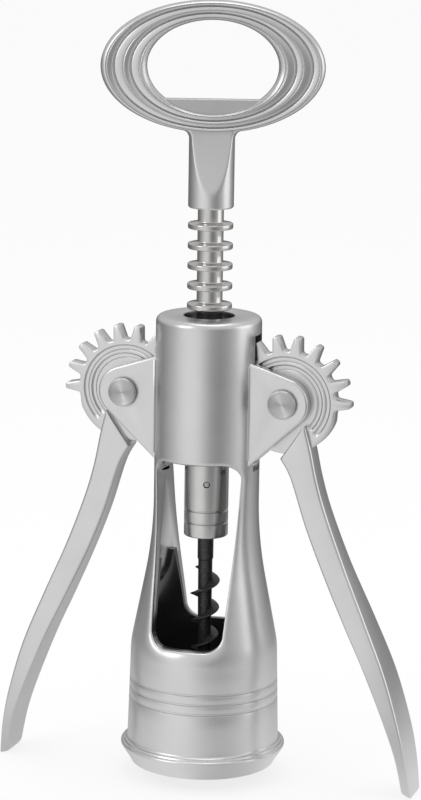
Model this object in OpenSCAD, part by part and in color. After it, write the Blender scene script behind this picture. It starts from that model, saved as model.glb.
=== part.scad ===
// Wing corkscrew: two geared levers drive a ringed shaft that pulls the worm.
// Origin: centre of the bell mouth. +Z runs up the shaft, -Y is the front face.

/* [Body] */
// Radius of the straight barrel
barrel_r = 12.5; // [12:0.1:13.5]
// Height of the closed top above the bell mouth
body_h = 108.8; // [107.6:0.2:112]
// Wall of the barrel
barrel_wall = 2.2; // [1.6:0.1:2.4]
// Wall of the bell
bell_wall = 1.8; // [1.4:0.1:2.2]
// Thickness of the closed top
top_plate = 3.5; // [2:0.1:4]
// Rounding of the top edge
top_round = 1.5; // [0.6:0.1:1.8]
// Angle at which the bell flares out
flare_angle = 11; // [8:0.5:13]
// Height of the shoulder above the mouth
shoulder_z = 27; // [25.5:0.5:28]
// Height of the rounded turn above the shoulder
turn_h = 4.5; // [3.5:0.5:6]
// Height of the straight flare
flare_run = 14.5; // [12:0.5:16]
// Height of the hollow curve from the flare into the barrel
flare_blend = 19; // [15:0.5:22]
// How much wider the bell is at its foot than at its shoulder
bell_draft = 0.6; // [0.2:0.1:1.2]
// How far the foot flange stands out from the bell
flange_out = 1.55; // [1:0.05:2.4]
// Height of the foot flange
flange_h = 5.5; // [4.5:0.1:7]
// Rounding of the flange edge
flange_round = 0.7; // [0.4:0.1:1]
// How far the flange is drawn in at the mouth
foot_in = 0.9; // [0.4:0.1:1.2]
// Height of the lowest ring groove
groove_z = 16.1; // [12:0.1:17]
// Spacing of the three ring grooves
groove_pitch = 2.35; // [1.6:0.05:3]
// Width of a ring groove
groove_w = 0.7; // [0.4:0.1:1]
// Depth of a ring groove
groove_d = 0.3; // [0.2:0.05:0.5]

/* [Windows] */
// Half width of a window at its sill
sill_half_w = 8.5; // [7.5:0.1:9.2]
// Half width of a window at its head
head_half_w = 10.6; // [10.4:0.05:10.9]
// Height of the sill
sill_z = 31; // [29:0.5:33]
// Height of the head
head_z = 74.8; // [68:0.2:76]
// Corner radius at the sill
sill_corner = 3.8; // [2:0.1:5]
// Corner radius at the head
head_corner = 2.7; // [1.5:0.1:4]
// Width of the rounded rim at the sides of a window
rim_side_w = 2; // [1:0.1:2.2]
// Width of the rounded rim at the sill
rim_sill_w = 3; // [1:0.1:3.2]
// Width of the rounded rim at the head
rim_head_w = 1.1; // [0.6:0.1:1.6]
// Depth of the rounded rim
rim_d = 1.2; // [0.6:0.1:1.4]

/* [Lugs and pivots] */
// Distance of a lever pivot from the shaft axis
pivot_x = 19.7; // [19.4:0.05:20.2]
// Height of the lever pivots
pivot_z = 89.7; // [88.5:0.1:91]
// Radius of the round end of a lug
lug_r = 6.15; // [5:0.05:6.3]
// Thickness of one lug
lug_t = 2.7; // [2:0.1:3.4]
// Height at which the lug top meets the barrel
lug_top_z = 98.5; // [97:0.1:101]
// Height at which the lug foot meets the barrel
lug_foot_z = 74.8; // [72:0.1:77]
// Fillet between a lug and the barrel
lug_fillet = 0.8; // [0.4:0.1:1.2]
// Half width of the slot that each gear runs in
slot_half_w = 2.6; // [2.2:0.1:3.2]
// Height of the slot foot
slot_foot_z = 72.5; // [70:0.5:74]
// Height of the slot head
slot_head_z = 105; // [104:0.1:105.2]
// Radius of a pivot pin
pin_r = 2.2; // [1.6:0.1:2.6]
// Radius of a pivot pin head
pin_head_r = 3.4; // [3:0.1:4.2]
// Height of a pivot pin head
pin_head_h = 1.2; // [0.8:0.1:1.8]
// Rounding of a pivot pin head
pin_head_round = 0.5; // [0.2:0.05:0.7]

/* [Levers] */
// Teeth that a full circle of the gear would hold
teeth_per_turn = 18; // [18:1:18]
// Teeth on a lever, the first pointing at the shaft
teeth = 10; // [8:1:10]
// Height of a tooth
tooth_h = 3.6; // [3:0.1:3.8]
// Half width of a tooth near its tip
tooth_tip_half = 0.75; // [0.6:0.05:0.9]
// Half width of a tooth at its root
tooth_root_half = 1.5; // [1.3:0.05:1.75]
// Thickness of the gear
gear_t = 3.6; // [3:0.1:3.7]
// How far the toothless edge stands out from the tooth roots
rim_out = 0.4; // [0:0.1:1]
// Radius of the outer ripple on the gear face
outer_ripple_r = 10.2; // [9.9:0.1:10.6]
// Radius of the inner ripple on the gear face
inner_ripple_r = 8.3; // [7.9:0.1:8.6]
// Width of a ripple
ripple_w = 1; // [0.6:0.1:1.2]
// Depth of a ripple
ripple_d = 0.35; // [0.2:0.05:0.5]
// How far the arm reaches out from the pivot
arm_reach = 32.3; // [30:0.1:34]
// How far the arm hangs below the pivot
arm_drop = 93.6; // [88:0.1:96]
// How far the arm stands proud of the gear, front and back
arm_proud = 1.3; // [0.9:0.1:2]
// Thickness of the arm at its widest
arm_t = 11.8; // [10:0.1:12.4]
// Rounding of the arm edges
arm_round = 0.8; // [0.4:0.1:1.1]

/* [Shaft] */
// Spacing of the rings on the shaft
ring_pitch = 4.743; // [4.7:0.001:4.8]
// Radius of a ring
ring_r = 5.3; // [5.1:0.05:5.4]
// Thickness of a ring at its rim
ring_t = 1.35; // [1.2:0.05:1.4]
// How much thicker a ring is at its root
ring_flare = 0.3; // [0:0.05:0.4]
// Radius of the shaft between the rings
core_r = 3.05; // [2.6:0.05:3.2]
// Rings above the gap that the levers mesh with
rings_above = 9; // [9:1:9]
// Rings below that gap
rings_below = 2; // [2:1:2]
// Radius of the spindle that joins the handle to the worm
spindle_r = 1.8; // [1.4:0.05:2]

/* [Handle] */
// Height of the middle of the handle ring
ring_mid_z = 167.1; // [166:0.1:169]
// Half width of the handle ring
grip_half_w = 26; // [24:0.1:28]
// Half height of the handle ring
grip_half_h = 15.3; // [14.6:0.1:16]
// Half width of the finger hole
hole_half_w = 15.25; // [13.5:0.05:15.4]
// Half height of the finger hole
hole_half_h = 10.8; // [10.2:0.05:11]
// Thickness of the handle ring over its crests
grip_t = 5.2; // [4.4:0.1:6]
// Depth of the two valleys in the ring
valley_d = 0.65; // [0.3:0.05:0.9]
// Rounding of the outer rim
rim_round = 1.1; // [0.6:0.1:1.3]
// Height of the cap lip above the foot of the finger hole
lip_h = 3.3; // [2:0.1:4.5]
// Thickness of the cap lip
lip_t = 2.4; // [1.8:0.1:3]
// Radius of the neck
neck_r = 5.35; // [5.1:0.05:5.5]
// Height of the neck foot
neck_foot_z = 134.3; // [133.4:0.1:136]
// Height of the round foot of the neck, below its flat sides
neck_round_h = 3.3; // [2:0.1:5]
// Depth of the spindle hole in the neck
neck_bore_depth = 12; // [8:0.5:14]
// Fillet between the neck and the ring
neck_fillet = 1.5; // [0.8:0.1:2.2]
// Turn of the handle about the shaft
handle_turn = 17.8; // [0:0.1:90]

/* [Worm] */
// Radius of the worm holder
holder_r = 5.25; // [4.8:0.05:5.4]
// Height of the holder foot
holder_foot_z = 55.7; // [54:0.1:58]
// Height of the holder top
holder_top_z = 79; // [78:0.1:79.6]
// Height of the lower groove above the holder foot
holder_groove_rise = 3.5; // [2:0.1:6]
// Spacing of the two holder grooves
holder_groove_pitch = 3; // [1.5:0.1:5]
// Radius of the cross pin
cross_pin_r = 0.75; // [0.5:0.05:0.95]
// Height of the cross pin
cross_pin_z = 68.95; // [66:0.05:70]
// How far the worm shank reaches above the cross pin
shank_rise = 2.6; // [1.2:0.1:4]
// Metal left between the shank and the foot of the spindle
holder_web = 1; // [0.5:0.1:3]
// Outer radius of the worm
worm_r = 3.55; // [3:0.05:3.9]
// Radius of the worm shank
shank_r = 1.9; // [1.7:0.05:2.2]
// Radius of the worm core below the shank
worm_core_r = 1.7; // [1.4:0.05:1.8]
// Rise of the worm in one turn
worm_pitch = 6.65; // [6:0.05:7.5]
// Height at which the worm flight starts
flight_top_z = 48; // [46:0.1:50]
// Height of the worm tip
tip_z = 11.4; // [10.8:0.1:16]

/* [Bell liner] */
// Wall of the liner
liner_wall = 1; // [0.8:0.05:1.3]
// Radius of the mouth that goes over the bottle lip
mouth_r = 15.3; // [15:0.05:15.4]
// Depth of the mouth, up to the shoulder that rests on the bottle lip
mouth_depth = 10.5; // [9:0.1:12]
// Thickness of that shoulder
stop_t = 2.4; // [1.6:0.1:3]
// Radius of the hole that the cork comes up through
cork_hole_r = 12.2; // [11.5:0.1:13]
// Height of the liner horns beside the windows
horn_z = 50; // [46:0.2:54]
// Half width of the round-footed notch between two horns
notch_half_w = 4.3; // [3:0.1:5]
// Height of the notch foot
notch_foot_z = 42.2; // [38:0.2:44]

/* [Fits] */
// Radial play of a turning fit
turn_play = 0.05; // [0.02:0.01:0.08]
// Radial play of a fixed fit
seat_play = 0.02; // [0.01:0.01:0.04]
// Gap between flat faces that slide past each other
side_play = 0.2; // [0.15:0.01:0.3]
// Gap between a tooth tip and the shaft core
tip_gap = 1.05; // [0.9:0.05:1.4]
// Play of the rings in the top hole
top_hole_play = 0.65; // [0.6:0.01:0.8]

/* [Hidden] */
$fn = 96;

// Overrun of every cut
over = 1;
// Steps in a short arc
arc_steps = 6;
// Edge break of turned pieces
edge_break = 0.4;

// Body
flare_radius = flare_blend / sin(flare_angle);
turn_radius = turn_h / sin(flare_angle);
run_foot_z = shoulder_z + turn_h;
run_top_z = run_foot_z + flare_run;
flare_top_z = run_top_z + flare_blend;
flare_foot_r = barrel_r + flare_radius * (1 - cos(flare_angle));
run_foot_r = flare_foot_r + flare_run * tan(flare_angle);
shoulder_r = run_foot_r + turn_radius * (1 - cos(flare_angle));
bell_r = shoulder_r + bell_draft;
flange_r = bell_r + flange_out;
grooves = 3;
flange_under_angle = -35;
flange_over_angle = 78;
flange_edge_share = 1.6;
barrel_in_r = barrel_r - barrel_wall;
rim_steps = 3;
rim_span = 6;
// How far the rounding starts off the surfaces that it cuts
rim_lift = 0.06;
top_hole_r = ring_r + top_hole_play;

// Lugs and pivots
lug_in = gear_t / 2 + side_play;
lug_out = lug_in + lug_t;
lug_root_share = 0.85;
lug_root_x = barrel_r - barrel_wall * lug_root_share;

// Gear
tooth_angle = 360 / teeth_per_turn;
gear_tip_r = pivot_x - core_r - tip_gap;
gear_root_r = gear_tip_r - tooth_h;
rim_step = 5;
tooth_first_side = 180;
// Each row: share of the tooth height, share of the way from root to tip width
tooth_shares = [[-0.02, -0.3], [0.05, 0.1], [0.16, 0.42], [0.5, 0.72], [0.9, 0.98], [1, 1.5]];

// Arm outlines from the pivot: shares of the reach, shares of the drop
inner_shares = [[0.143, 0.058], [-0.031, 0.144], [0.049, 0.194], [0.164, 0.315], [0.304, 0.433],
                [0.469, 0.553], [0.632, 0.668], [0.788, 0.796], [0.88, 0.888], [0.928, 0.976]];
outer_shares = [[0.156, 0.055], [0.202, 0.118], [0.251, 0.197], [0.326, 0.283], [0.468, 0.411],
                [0.637, 0.545], [0.798, 0.679], [0.911, 0.809], [0.967, 0.901], [1, 0.988]];
// Arm thickness where each outline point lies: shares of the way from root to full
thick_shares = [0, 0, 0, 0.02, 0.17, 0.58, 0.87, 1, 0.94, 0.6];
arm_steps = 3;
corner_steps = 2;
arm_root_y = gear_t / 2 + arm_proud;
arm_corner_share = 0.3;
ripple_start = -46;
ripple_span = 290;

// Shaft
shaft_end_play = 0.1;
shaft_foot_z = holder_top_z + shaft_end_play;
shaft_top_z = neck_foot_z - shaft_end_play;

// Handle
grip_steps = 80;
crest_half_t = grip_t / 2;
valley_half_t = crest_half_t - valley_d;
rim_half_t = crest_half_t - rim_round;
// Middles of the crests and valleys: shares of the way from the hole to the rim
crest_a_share = 0.88;
valley_b_share = 0.7;
crest_c_share = 0.51;
valley_d_share = 0.34;
crest_e_share = 0.18;
lip_seat_share = 0.12;
neck_waist_z = neck_foot_z + neck_round_h;
neck_fillet_rise = 0.8;

// Worm holder and worm
shank_top_z = cross_pin_z + shank_rise;
spindle_foot_z = shank_top_z + holder_web;
holder_grooves = 2;
holder_groove_w = 0.5;
holder_groove_d = 0.25;
worm_steps = 20;
worm_point_h = 6;
point_power = 0.7;
flight_half_t = 0.75;
flight_grow_turns = 0.4;
start_share = 0.15;
worm_side_z = 44.4;
core_tip_share = 0.55;
collar_rise = 1.8;
collar_z = flight_top_z + collar_rise;

// Points along an arc, from angle a0 to angle a1
function arc(c, r, a0, a1, n) =
    [for (i = [0:n]) let (a = a0 + (a1 - a0) * i / n) c + r * [cos(a), sin(a)]];

function unit(v) = v / norm(v);

function near_turn(a) = a > 180 ? a - 360 : a < -180 ? a + 360 : a;

// The corner p, between a and b, rounded with radius r
function rounded_corner(a, p, b, r, n) =
    let (u = unit(a - p), v = unit(b - p), half = acos(u * v) / 2,
         c = p + unit(u + v) * r / sin(half),
         s = p + u * r / tan(half) - c, e = p + v * r / tan(half) - c,
         a0 = atan2(s.y, s.x), turn = near_turn(atan2(e.y, e.x) - a0))
    arc(c, r, a0, a0 + turn, n);

// A closed outline with each corner rounded by its own radius
function rounded(p, r, n) =
    let (m = len(p))
    [for (i = [0:m - 1]) each rounded_corner(p[(i + m - 1) % m], p[i], p[(i + 1) % m], r[i], n)];

// A smooth curve through the points p, at place s from 0 to len(p) - 1
function along(p, s) =
    let (m = len(p), i = min(floor(s), m - 2), t = s - i,
         a = p[max(i - 1, 0)], b = p[i], c = p[i + 1], d = p[min(i + 2, m - 1)])
    (2 * b + (c - a) * t + (2 * a - 5 * b + 4 * c - d) * pow(t, 2)
        + (3 * b - a - 3 * c + d) * pow(t, 3)) / 2;

// Radius of the drafted bell below its shoulder
function bell_at(z) = bell_r + (shoulder_r - bell_r) * (z - flange_h) / (shoulder_z - flange_h);

// The bell and barrel from the shoulder up to the straight barrel
flare_path = concat(
    arc([shoulder_r - turn_radius, shoulder_z], turn_radius, 0, flare_angle, arc_steps),
    arc([barrel_r + flare_radius, flare_top_z], flare_radius, 180 + flare_angle, 180, arc_steps * 2));

// Wall at height z, thinner in the bell than in the barrel
function wall_at(z) =
    bell_wall + (barrel_wall - bell_wall) * max(0, min(1, (z - run_foot_z) / flare_run));

// The inner surface, drawn in by extra
function inner_path(extra) = concat(
    [[bell_r - bell_wall - extra, 0]],
    [for (p = flare_path) [p.x - wall_at(p.y) - extra, p.y]]);

module body_outside() {
    edge = [flange_r - flange_round, flange_h - flange_round * flange_edge_share];
    ring_cuts = [for (i = [0:grooves - 1]) let (z = groove_z + i * groove_pitch)
        each [[bell_at(z - groove_w / 2), z - groove_w / 2],
              [bell_at(z) - groove_d, z],
              [bell_at(z + groove_w / 2), z + groove_w / 2]]];
    rotate_extrude()
        polygon(concat(
            [[0, 0], [bell_r - foot_in, 0]],
            arc(edge, flange_round, flange_under_angle, flange_over_angle, arc_steps),
            [[bell_r, flange_h]],
            ring_cuts,
            flare_path,
            arc([barrel_r - top_round, body_h - top_round], top_round, 0, 90, arc_steps),
            [[0, body_h]]));
}

module body_inside() {
    hollow_top = body_h - top_plate;
    path = inner_path(0);
    mouth_r = path[0].x;
    rotate_extrude()
        polygon(concat(
            [[0, -over], [mouth_r, -over]],
            path,
            [[barrel_in_r, hollow_top], [0, hollow_top]]));
    translate([0, 0, hollow_top - over])
        cylinder(r = top_hole_r, h = top_plate + 2 * over);
}

// Prism along Y through the whole body, seen from the front as the outline p
module along_y(p, depth) {
    rotate([90, 0, 0])
        linear_extrude(height = depth, center = true)
            polygon(p);
}

window_outline = rounded(
    [[-sill_half_w, sill_z], [sill_half_w, sill_z], [head_half_w, head_z], [-head_half_w, head_z]],
    [sill_corner, sill_corner, head_corner, head_corner], arc_steps);

module window_cut() {
    along_y(window_outline, 2 * flange_r);
}

// Outer radius of the body at height z, above the shoulder
function outer_at(z) = lookup(z, [for (p = flare_path) [p.y, p.x]]);

// The point of the outer surface over x and z, lifted off it by rise
function on_body(x, z, rise) =
    let (r = outer_at(z), a = asin(x / r)) [(r + rise) * sin(a), -(r + rise) * cos(a), z];

// The cross section of the rim cut where the window edge passes q on its way from a to b
function rim_section(a, q, b) =
    let (r = outer_at(q.y), turn = asin(q.x / r), run = b - a,
         out = unit([run.y, -run.x / cos(turn)]),
         w = rim_side_w + (out.y < 0 ? rim_side_w - rim_sill_w : rim_head_w - rim_side_w) * out.y,
         x = outer_at(q.y + w * out.y) * sin(turn + w * out.x / r * 180 / PI), z = q.y + w * out.y,
         inward = [-out.x, 0, -out.y], corner = on_body(q.x, q.y, 0), top = on_body(x, z, rim_lift),
         foot = corner + [0, rim_d, 0] + inward * rim_lift)
    concat(
        [on_body(x, z, over), top],
        [for (i = [rim_steps - 1:-1:1]) let (t = i / rim_steps)
            (1 - t) * (1 - t) * foot + 2 * t * (1 - t) * corner + t * t * top],
        [foot, foot + inward * over, on_body(q.x, q.y, over) + inward * over]);

// The ring that is cut away to round the rim of the front window
module rim_cut() {
    edge = window_outline;
    m = len(edge);
    path = [for (i = [0:m - 1])
        let (a = edge[i], b = edge[(i + 1) % m], n = ceil(norm(b - a) / rim_span))
        for (k = [0:n - 1]) a + (b - a) * k / n];
    n = len(path);
    sections = [for (i = [0:n - 1]) rim_section(path[(i + n - 1) % n], path[i], path[(i + 1) % n])];
    k = len(sections[0]);
    faces = [for (i = [0:n - 1], j = [0:k - 1])
        let (a = i * k + j, b = i * k + (j + 1) % k,
             c = ((i + 1) % n) * k + j, d = ((i + 1) % n) * k + (j + 1) % k)
        each [[a, c, b], [b, c, d]]];
    polyhedron([for (p = sections) each p], faces);
}

module gear_slots() {
    slot_h = slot_head_z - slot_foot_z;
    for (side = [-1, 1])
        translate([side * barrel_r, 0, slot_foot_z + slot_h / 2])
            cube([2 * barrel_wall + over, 2 * slot_half_w, slot_h], center = true);
}

// Where the line from p touches a circle of radius r about c
function touch_angle(p, c, r, side) =
    let (d = p - c) atan2(d.y, d.x) + side * acos(r / norm(d));

function lug_outline() =
    let (c = [pivot_x, pivot_z], top = [barrel_r, lug_top_z], foot = [barrel_r, lug_foot_z],
         a_top = touch_angle(top, c, lug_r, -1), a_foot = touch_angle(foot, c, lug_r, 1),
         top_slope = -1 / tan(a_top), foot_slope = -1 / tan(a_foot), bury = barrel_r - lug_root_x)
    concat(
        [[lug_root_x, lug_foot_z - bury * foot_slope]],
        arc(c, lug_r, near_turn(a_foot), near_turn(a_top), 4 * arc_steps),
        [[lug_root_x, lug_top_z - bury * top_slope]]);

module lugs() {
    for (turn = [0, 180], face = [-1, 1])
        rotate([0, 0, turn])
            translate([0, face * (lug_in + lug_out) / 2, 0])
                along_y(lug_outline(), lug_t);
}

// The hollow rounds that run the outer faces of the lugs into the barrel
module lug_fillets() {
    c = [sqrt(pow(barrel_r + lug_fillet, 2) - pow(lug_out + lug_fillet, 2)), lug_out + lug_fillet];
    hollow = arc(c, lug_fillet, atan2(-c.y, -c.x), -90, arc_steps);
    root = [hollow[0].x - edge_break, lug_out - edge_break];
    for (turn = [0, 180], face = [0, 1])
        rotate([0, 0, turn])
            mirror([0, face, 0])
                translate([0, 0, lug_foot_z + lug_fillet])
                    linear_extrude(height = lug_top_z - lug_foot_z - 2 * lug_fillet)
                        polygon(concat([root], hollow));
}

module pivot_bores() {
    for (side = [-1, 1])
        translate([side * pivot_x, 0, pivot_z])
            rotate([90, 0, 0])
                cylinder(r = pin_r + seat_play, h = 2 * (lug_out + over), center = true);
}

module housing() {
    color("silver")
        difference() {
            union() {
                difference() {
                    body_outside();
                    body_inside();
                    window_cut();
                    for (turn = [0, 180])
                        rotate([0, 0, turn])
                            rim_cut();
                    gear_slots();
                }
                lugs();
                lug_fillets();
            }
            pivot_bores();
        }
}

// The black plastic sleeve inside the bell, with a shoulder that rests on the bottle lip
module bell_liner() {
    wall = inner_path(seat_play);
    skin = concat([for (p = wall) if (p.y < horn_z) p],
                  [[lookup(horn_z, [for (p = wall) [p.y, p.x]]), horn_z]]);
    stop_z = mouth_depth + stop_t;
    hollow = [for (p = skin) if (p.y > stop_z) p - [liner_wall, 0]];
    color("dimgray")
        difference() {
            rotate_extrude()
                polygon(concat([[mouth_r, 0]], skin, [for (i = [len(hollow) - 1:-1:0]) hollow[i]],
                               [[mouth_r - seat_play, stop_z], [cork_hole_r, stop_z],
                                [cork_hole_r, mouth_depth], [mouth_r, mouth_depth]]));
            window_cut();
            strut_notches();
        }
}

// The notches in the liner over the middle of each strut, open at the top
module strut_notches() {
    outline = concat(
        [[notch_half_w, horn_z + over], [-notch_half_w, horn_z + over]],
        arc([0, notch_foot_z + notch_half_w], notch_half_w, 180, 360, 2 * arc_steps));
    rotate([0, 0, 90])
        along_y(outline, 2 * flange_r);
}

module pivot_pin(side) {
    head = concat(
        [[0, lug_out], [pin_head_r, lug_out]],
        arc([pin_head_r - pin_head_round, lug_out + pin_head_h - pin_head_round],
            pin_head_round, 0, 90, arc_steps),
        [[0, lug_out + pin_head_h]]);
    color("gainsboro")
        translate([side * pivot_x, 0, pivot_z])
            rotate([90, 0, 0])
                union() {
                    cylinder(r = pin_r, h = 2 * lug_out, center = true);
                    for (face = [0, 1])
                        mirror([0, 0, face])
                            rotate_extrude()
                                polygon(head);
                }
}

module left_pivot_pin() {
    pivot_pin(-1);
}

module right_pivot_pin() {
    pivot_pin(1);
}

// One tooth pointing along the angle a: up one flank and down the other
function tooth_points(a) =
    let (half = [for (s = tooth_shares)
            [gear_root_r + tooth_h * s[0],
             tooth_root_half + (tooth_tip_half - tooth_root_half) * s[1]]],
         side = [for (p = half) [p.x, -p.y]], back = [for (i = [len(half) - 1:-1:0]) half[i]])
    [for (p = concat(side, back))
        [p.x * cos(a) - p.y * sin(a), p.x * sin(a) + p.y * cos(a)]];

function gear_outline() =
    let (last_side = tooth_first_side - (teeth - 1) * tooth_angle,
         rim_start = tooth_first_side + tooth_angle / 2,
         rim_end = last_side + 360 - tooth_angle / 2,
         rim_n = floor((rim_end - rim_start) / rim_step))
    concat(
        [for (k = [teeth - 1:-1:0]) each tooth_points(tooth_first_side - k * tooth_angle)],
        [for (i = [0:rim_n]) let (t = i / rim_n, a = rim_start + (rim_end - rim_start) * t)
            (gear_root_r + rim_out * min(1, 2 * t)) * [cos(a), sin(a)]]);

// A ripple pressed into a gear face, left out behind the arm
module ripple(r) {
    profile = [[r - ripple_w / 2, over], [r - ripple_w / 2, 0], [r - ripple_w / 4, -ripple_d],
               [r + ripple_w / 4, -ripple_d], [r + ripple_w / 2, 0], [r + ripple_w / 2, over]];
    rotate([90, 0, 0])
        rotate([0, 0, ripple_start])
            rotate_extrude(angle = ripple_span)
                polygon(profile);
}

// One ring of points round the arm, between its inner point p and outer point q
function arm_ring(p, q, half_y) =
    let (r = min(arm_round, norm(q - p) * arm_corner_share), u = unit(q - p), w = norm(q - p),
         corners = [[r, -half_y + r, 180], [w - r, -half_y + r, 270],
                    [w - r, half_y - r, 0], [r, half_y - r, 90]])
    [for (c = corners, i = [0:corner_steps])
        let (a = c[2] + 90 * i / corner_steps, s = c[0] + r * cos(a), y = c[1] + r * sin(a))
        [p.x + u.x * s, y, p.y + u.y * s]];

// The arm as a loft through rings along its two edges
module arm() {
    count = (len(inner_shares) - 1) * arm_steps;
    size = [arm_reach, -arm_drop];
    inner = [for (s = inner_shares) [s.x * size.x, s.y * size.y]];
    outer = [for (s = outer_shares) [s.x * size.x, s.y * size.y]];
    rings = [for (i = [0:count])
        let (s = i / arm_steps, grow = s < 1 ? 0 : along(thick_shares, s),
             half_y = arm_root_y + (arm_t / 2 - arm_root_y) * grow)
        arm_ring(s <= 1 ? inner[0] + (inner[1] - inner[0]) * s : along_from(inner, s),
                 along(outer, s), half_y)];
    loft(rings);
}

// The curve through p from its second point on, so that its first corner stays sharp
function along_from(p, s) =
    along([for (i = [1:len(p) - 1]) p[i]], s - 1);

// A closed solid through rings that all have the same count of points
module loft(rings) {
    m = len(rings[0]);
    n = len(rings);
    sides = [for (j = [0:n - 2], i = [0:m - 1])
        let (a = j * m + i, b = j * m + (i + 1) % m)
        each [[a, b, a + m], [b, b + m, a + m]]];
    caps = [for (i = [1:m - 2]) each [[0, i + 1, i],
        [(n - 1) * m, (n - 1) * m + i, (n - 1) * m + i + 1]]];
    polyhedron([for (r = rings) each r], concat(sides, caps));
}

module lever() {
    difference() {
        union() {
            along_y(gear_outline(), gear_t);
            arm();
        }
        rotate([90, 0, 0])
            cylinder(r = pin_r + turn_play, h = gear_t + 2 * over, center = true);
        for (face = [0, 1], r = [inner_ripple_r, outer_ripple_r])
            mirror([0, face, 0])
                translate([0, -gear_t / 2, 0])
                    ripple(r);
    }
}

module right_lever() {
    color("lightgray")
        translate([pivot_x, 0, pivot_z])
            lever();
}

module left_lever() {
    color("lightgray")
        translate([-pivot_x, 0, pivot_z])
            mirror([1, 0, 0])
                lever();
}

// The ringed sleeve that the gears drive
module rack_shaft() {
    ring_z = [for (k = [-rings_below:rings_above - 1]) pivot_z + (k + 0.5) * ring_pitch];
    rings = [for (z = ring_z) each [
        [core_r, z - (ring_t + ring_flare) / 2], [ring_r, z - ring_t / 2],
        [ring_r, z + ring_t / 2], [core_r, z + (ring_t + ring_flare) / 2]]];
    color("gainsboro")
        difference() {
            rotate_extrude()
                polygon(concat([[0, shaft_foot_z], [core_r, shaft_foot_z]], rings,
                               [[core_r, shaft_top_z], [0, shaft_top_z]]));
            translate([0, 0, shaft_foot_z - over])
                cylinder(r = spindle_r + turn_play, h = shaft_top_z - shaft_foot_z + 2 * over);
        }
}

// The rod through the sleeve that carries the pull from the worm to the handle
module spindle() {
    color("gray")
        translate([0, 0, spindle_foot_z])
            cylinder(r = spindle_r, h = neck_foot_z + neck_bore_depth - edge_break - spindle_foot_z);
}

// A ring of the grip: ellipse share s from the hole to the rim, at thickness y
function grip_ring(s, y) =
    let (a = hole_half_w + (grip_half_w - hole_half_w) * s,
         b = hole_half_h + (grip_half_h - hole_half_h) * s)
    [for (i = [0:grip_steps - 1]) let (t = 360 * i / grip_steps)
        [a * cos(t), y, ring_mid_z + b * sin(t)]];

// The grip, with its crests and valleys, as rings that close on themselves
module grip() {
    front = [[0, crest_half_t - 2 * valley_d], [crest_e_share / 2, crest_half_t - valley_d / 2],
             [crest_e_share, crest_half_t],
             [valley_d_share, valley_half_t], [crest_c_share, crest_half_t],
             [valley_b_share, valley_half_t], [crest_a_share, crest_half_t],
             [1 - (1 - crest_a_share) / 3, (crest_half_t + rim_half_t) / 2], [1, rim_half_t]];
    back = [for (i = [len(front) - 1:-1:0]) [front[i].x, -front[i].y]];
    section = concat(front, back);
    m = len(section);
    n = grip_steps;
    points = [for (s = section) each grip_ring(s[0], -s[1])];
    faces = [for (j = [0:m - 1], i = [0:n - 1])
        let (a = j * n + i, b = j * n + (i + 1) % n,
             c = ((j + 1) % m) * n + i, d = ((j + 1) % m) * n + (i + 1) % n)
        each [[a, b, c], [b, d, c]]];
    polyhedron(points, faces);
}

// The lip that lifts crown caps, across the foot of the finger hole
module cap_lip() {
    a = hole_half_w + (grip_half_w - hole_half_w) * lip_seat_share;
    b = hole_half_h + (grip_half_h - hole_half_h) * lip_seat_share;
    sweep = acos((hole_half_h - lip_h) / b);
    steps = 4 * arc_steps;
    outline = [for (i = [0:steps]) let (t = -90 - sweep + 2 * sweep * i / steps)
        [a * cos(t), ring_mid_z + b * sin(t)]];
    along_y(outline, lip_t);
}

// The neck, cut flat front and back until it is as thin as the grip
module neck() {
    grip_foot_z = ring_mid_z - grip_half_h;
    crest_z = grip_foot_z + (grip_half_h - hole_half_h) * (1 - crest_a_share);
    top_z = grip_foot_z + (grip_half_h - hole_half_h) * (1 - valley_b_share);
    buried = valley_half_t - edge_break;
    profile = [[-neck_r, neck_foot_z], [neck_r, neck_foot_z], [neck_r, neck_waist_z],
               [crest_half_t, crest_z], [buried, top_z], [-buried, top_z],
               [-crest_half_t, crest_z], [-neck_r, neck_waist_z]];
    intersection() {
        translate([0, 0, neck_foot_z])
            cylinder(r = neck_r, h = top_z - neck_foot_z);
        rotate([0, 0, 90])
            along_y(profile, 2 * (neck_r + over));
    }
    for (side = [0, 1])
        mirror([side, 0, 0])
            along_y(concat(
                arc([neck_r + neck_fillet, grip_foot_z - neck_fillet + neck_fillet_rise],
                    neck_fillet, 180, 90, arc_steps),
                [[neck_r, top_z - neck_fillet_rise], [0, top_z - neck_fillet_rise],
                 [0, grip_foot_z - neck_fillet]]), 2 * valley_half_t);
}

module handle() {
    color("lightgray")
        rotate([0, 0, handle_turn])
            difference() {
                union() {
                    grip();
                    cap_lip();
                    neck();
                }
                translate([0, 0, neck_foot_z - over])
                    cylinder(r = spindle_r + seat_play, h = neck_bore_depth + over);
            }
}

module worm_holder() {
    outline = concat(
        [[0, holder_foot_z], [holder_r - edge_break, holder_foot_z],
         [holder_r, holder_foot_z + edge_break]],
        [for (i = [0:holder_grooves - 1])
            let (z = holder_foot_z + holder_groove_rise + i * holder_groove_pitch)
            each [[holder_r, z - holder_groove_w / 2], [holder_r - holder_groove_d, z],
                  [holder_r, z + holder_groove_w / 2]]],
        [[holder_r, holder_top_z - edge_break], [holder_r - edge_break, holder_top_z],
         [0, holder_top_z]]);
    color("silver")
        rotate([0, 0, handle_turn])
            difference() {
                rotate_extrude()
                    polygon(outline);
                translate([0, 0, spindle_foot_z])
                    cylinder(r = spindle_r + seat_play, h = holder_top_z);
                translate([0, 0, holder_foot_z - over])
                    cylinder(r = shank_r + seat_play, h = shank_top_z - holder_foot_z + over);
                cross_pin_rod(cross_pin_r + seat_play, 2 * (holder_r + over));
            }
}

module cross_pin_rod(r, length) {
    translate([0, 0, cross_pin_z])
        rotate([90, 0, 0])
            cylinder(r = r, h = length, center = true);
}

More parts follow.
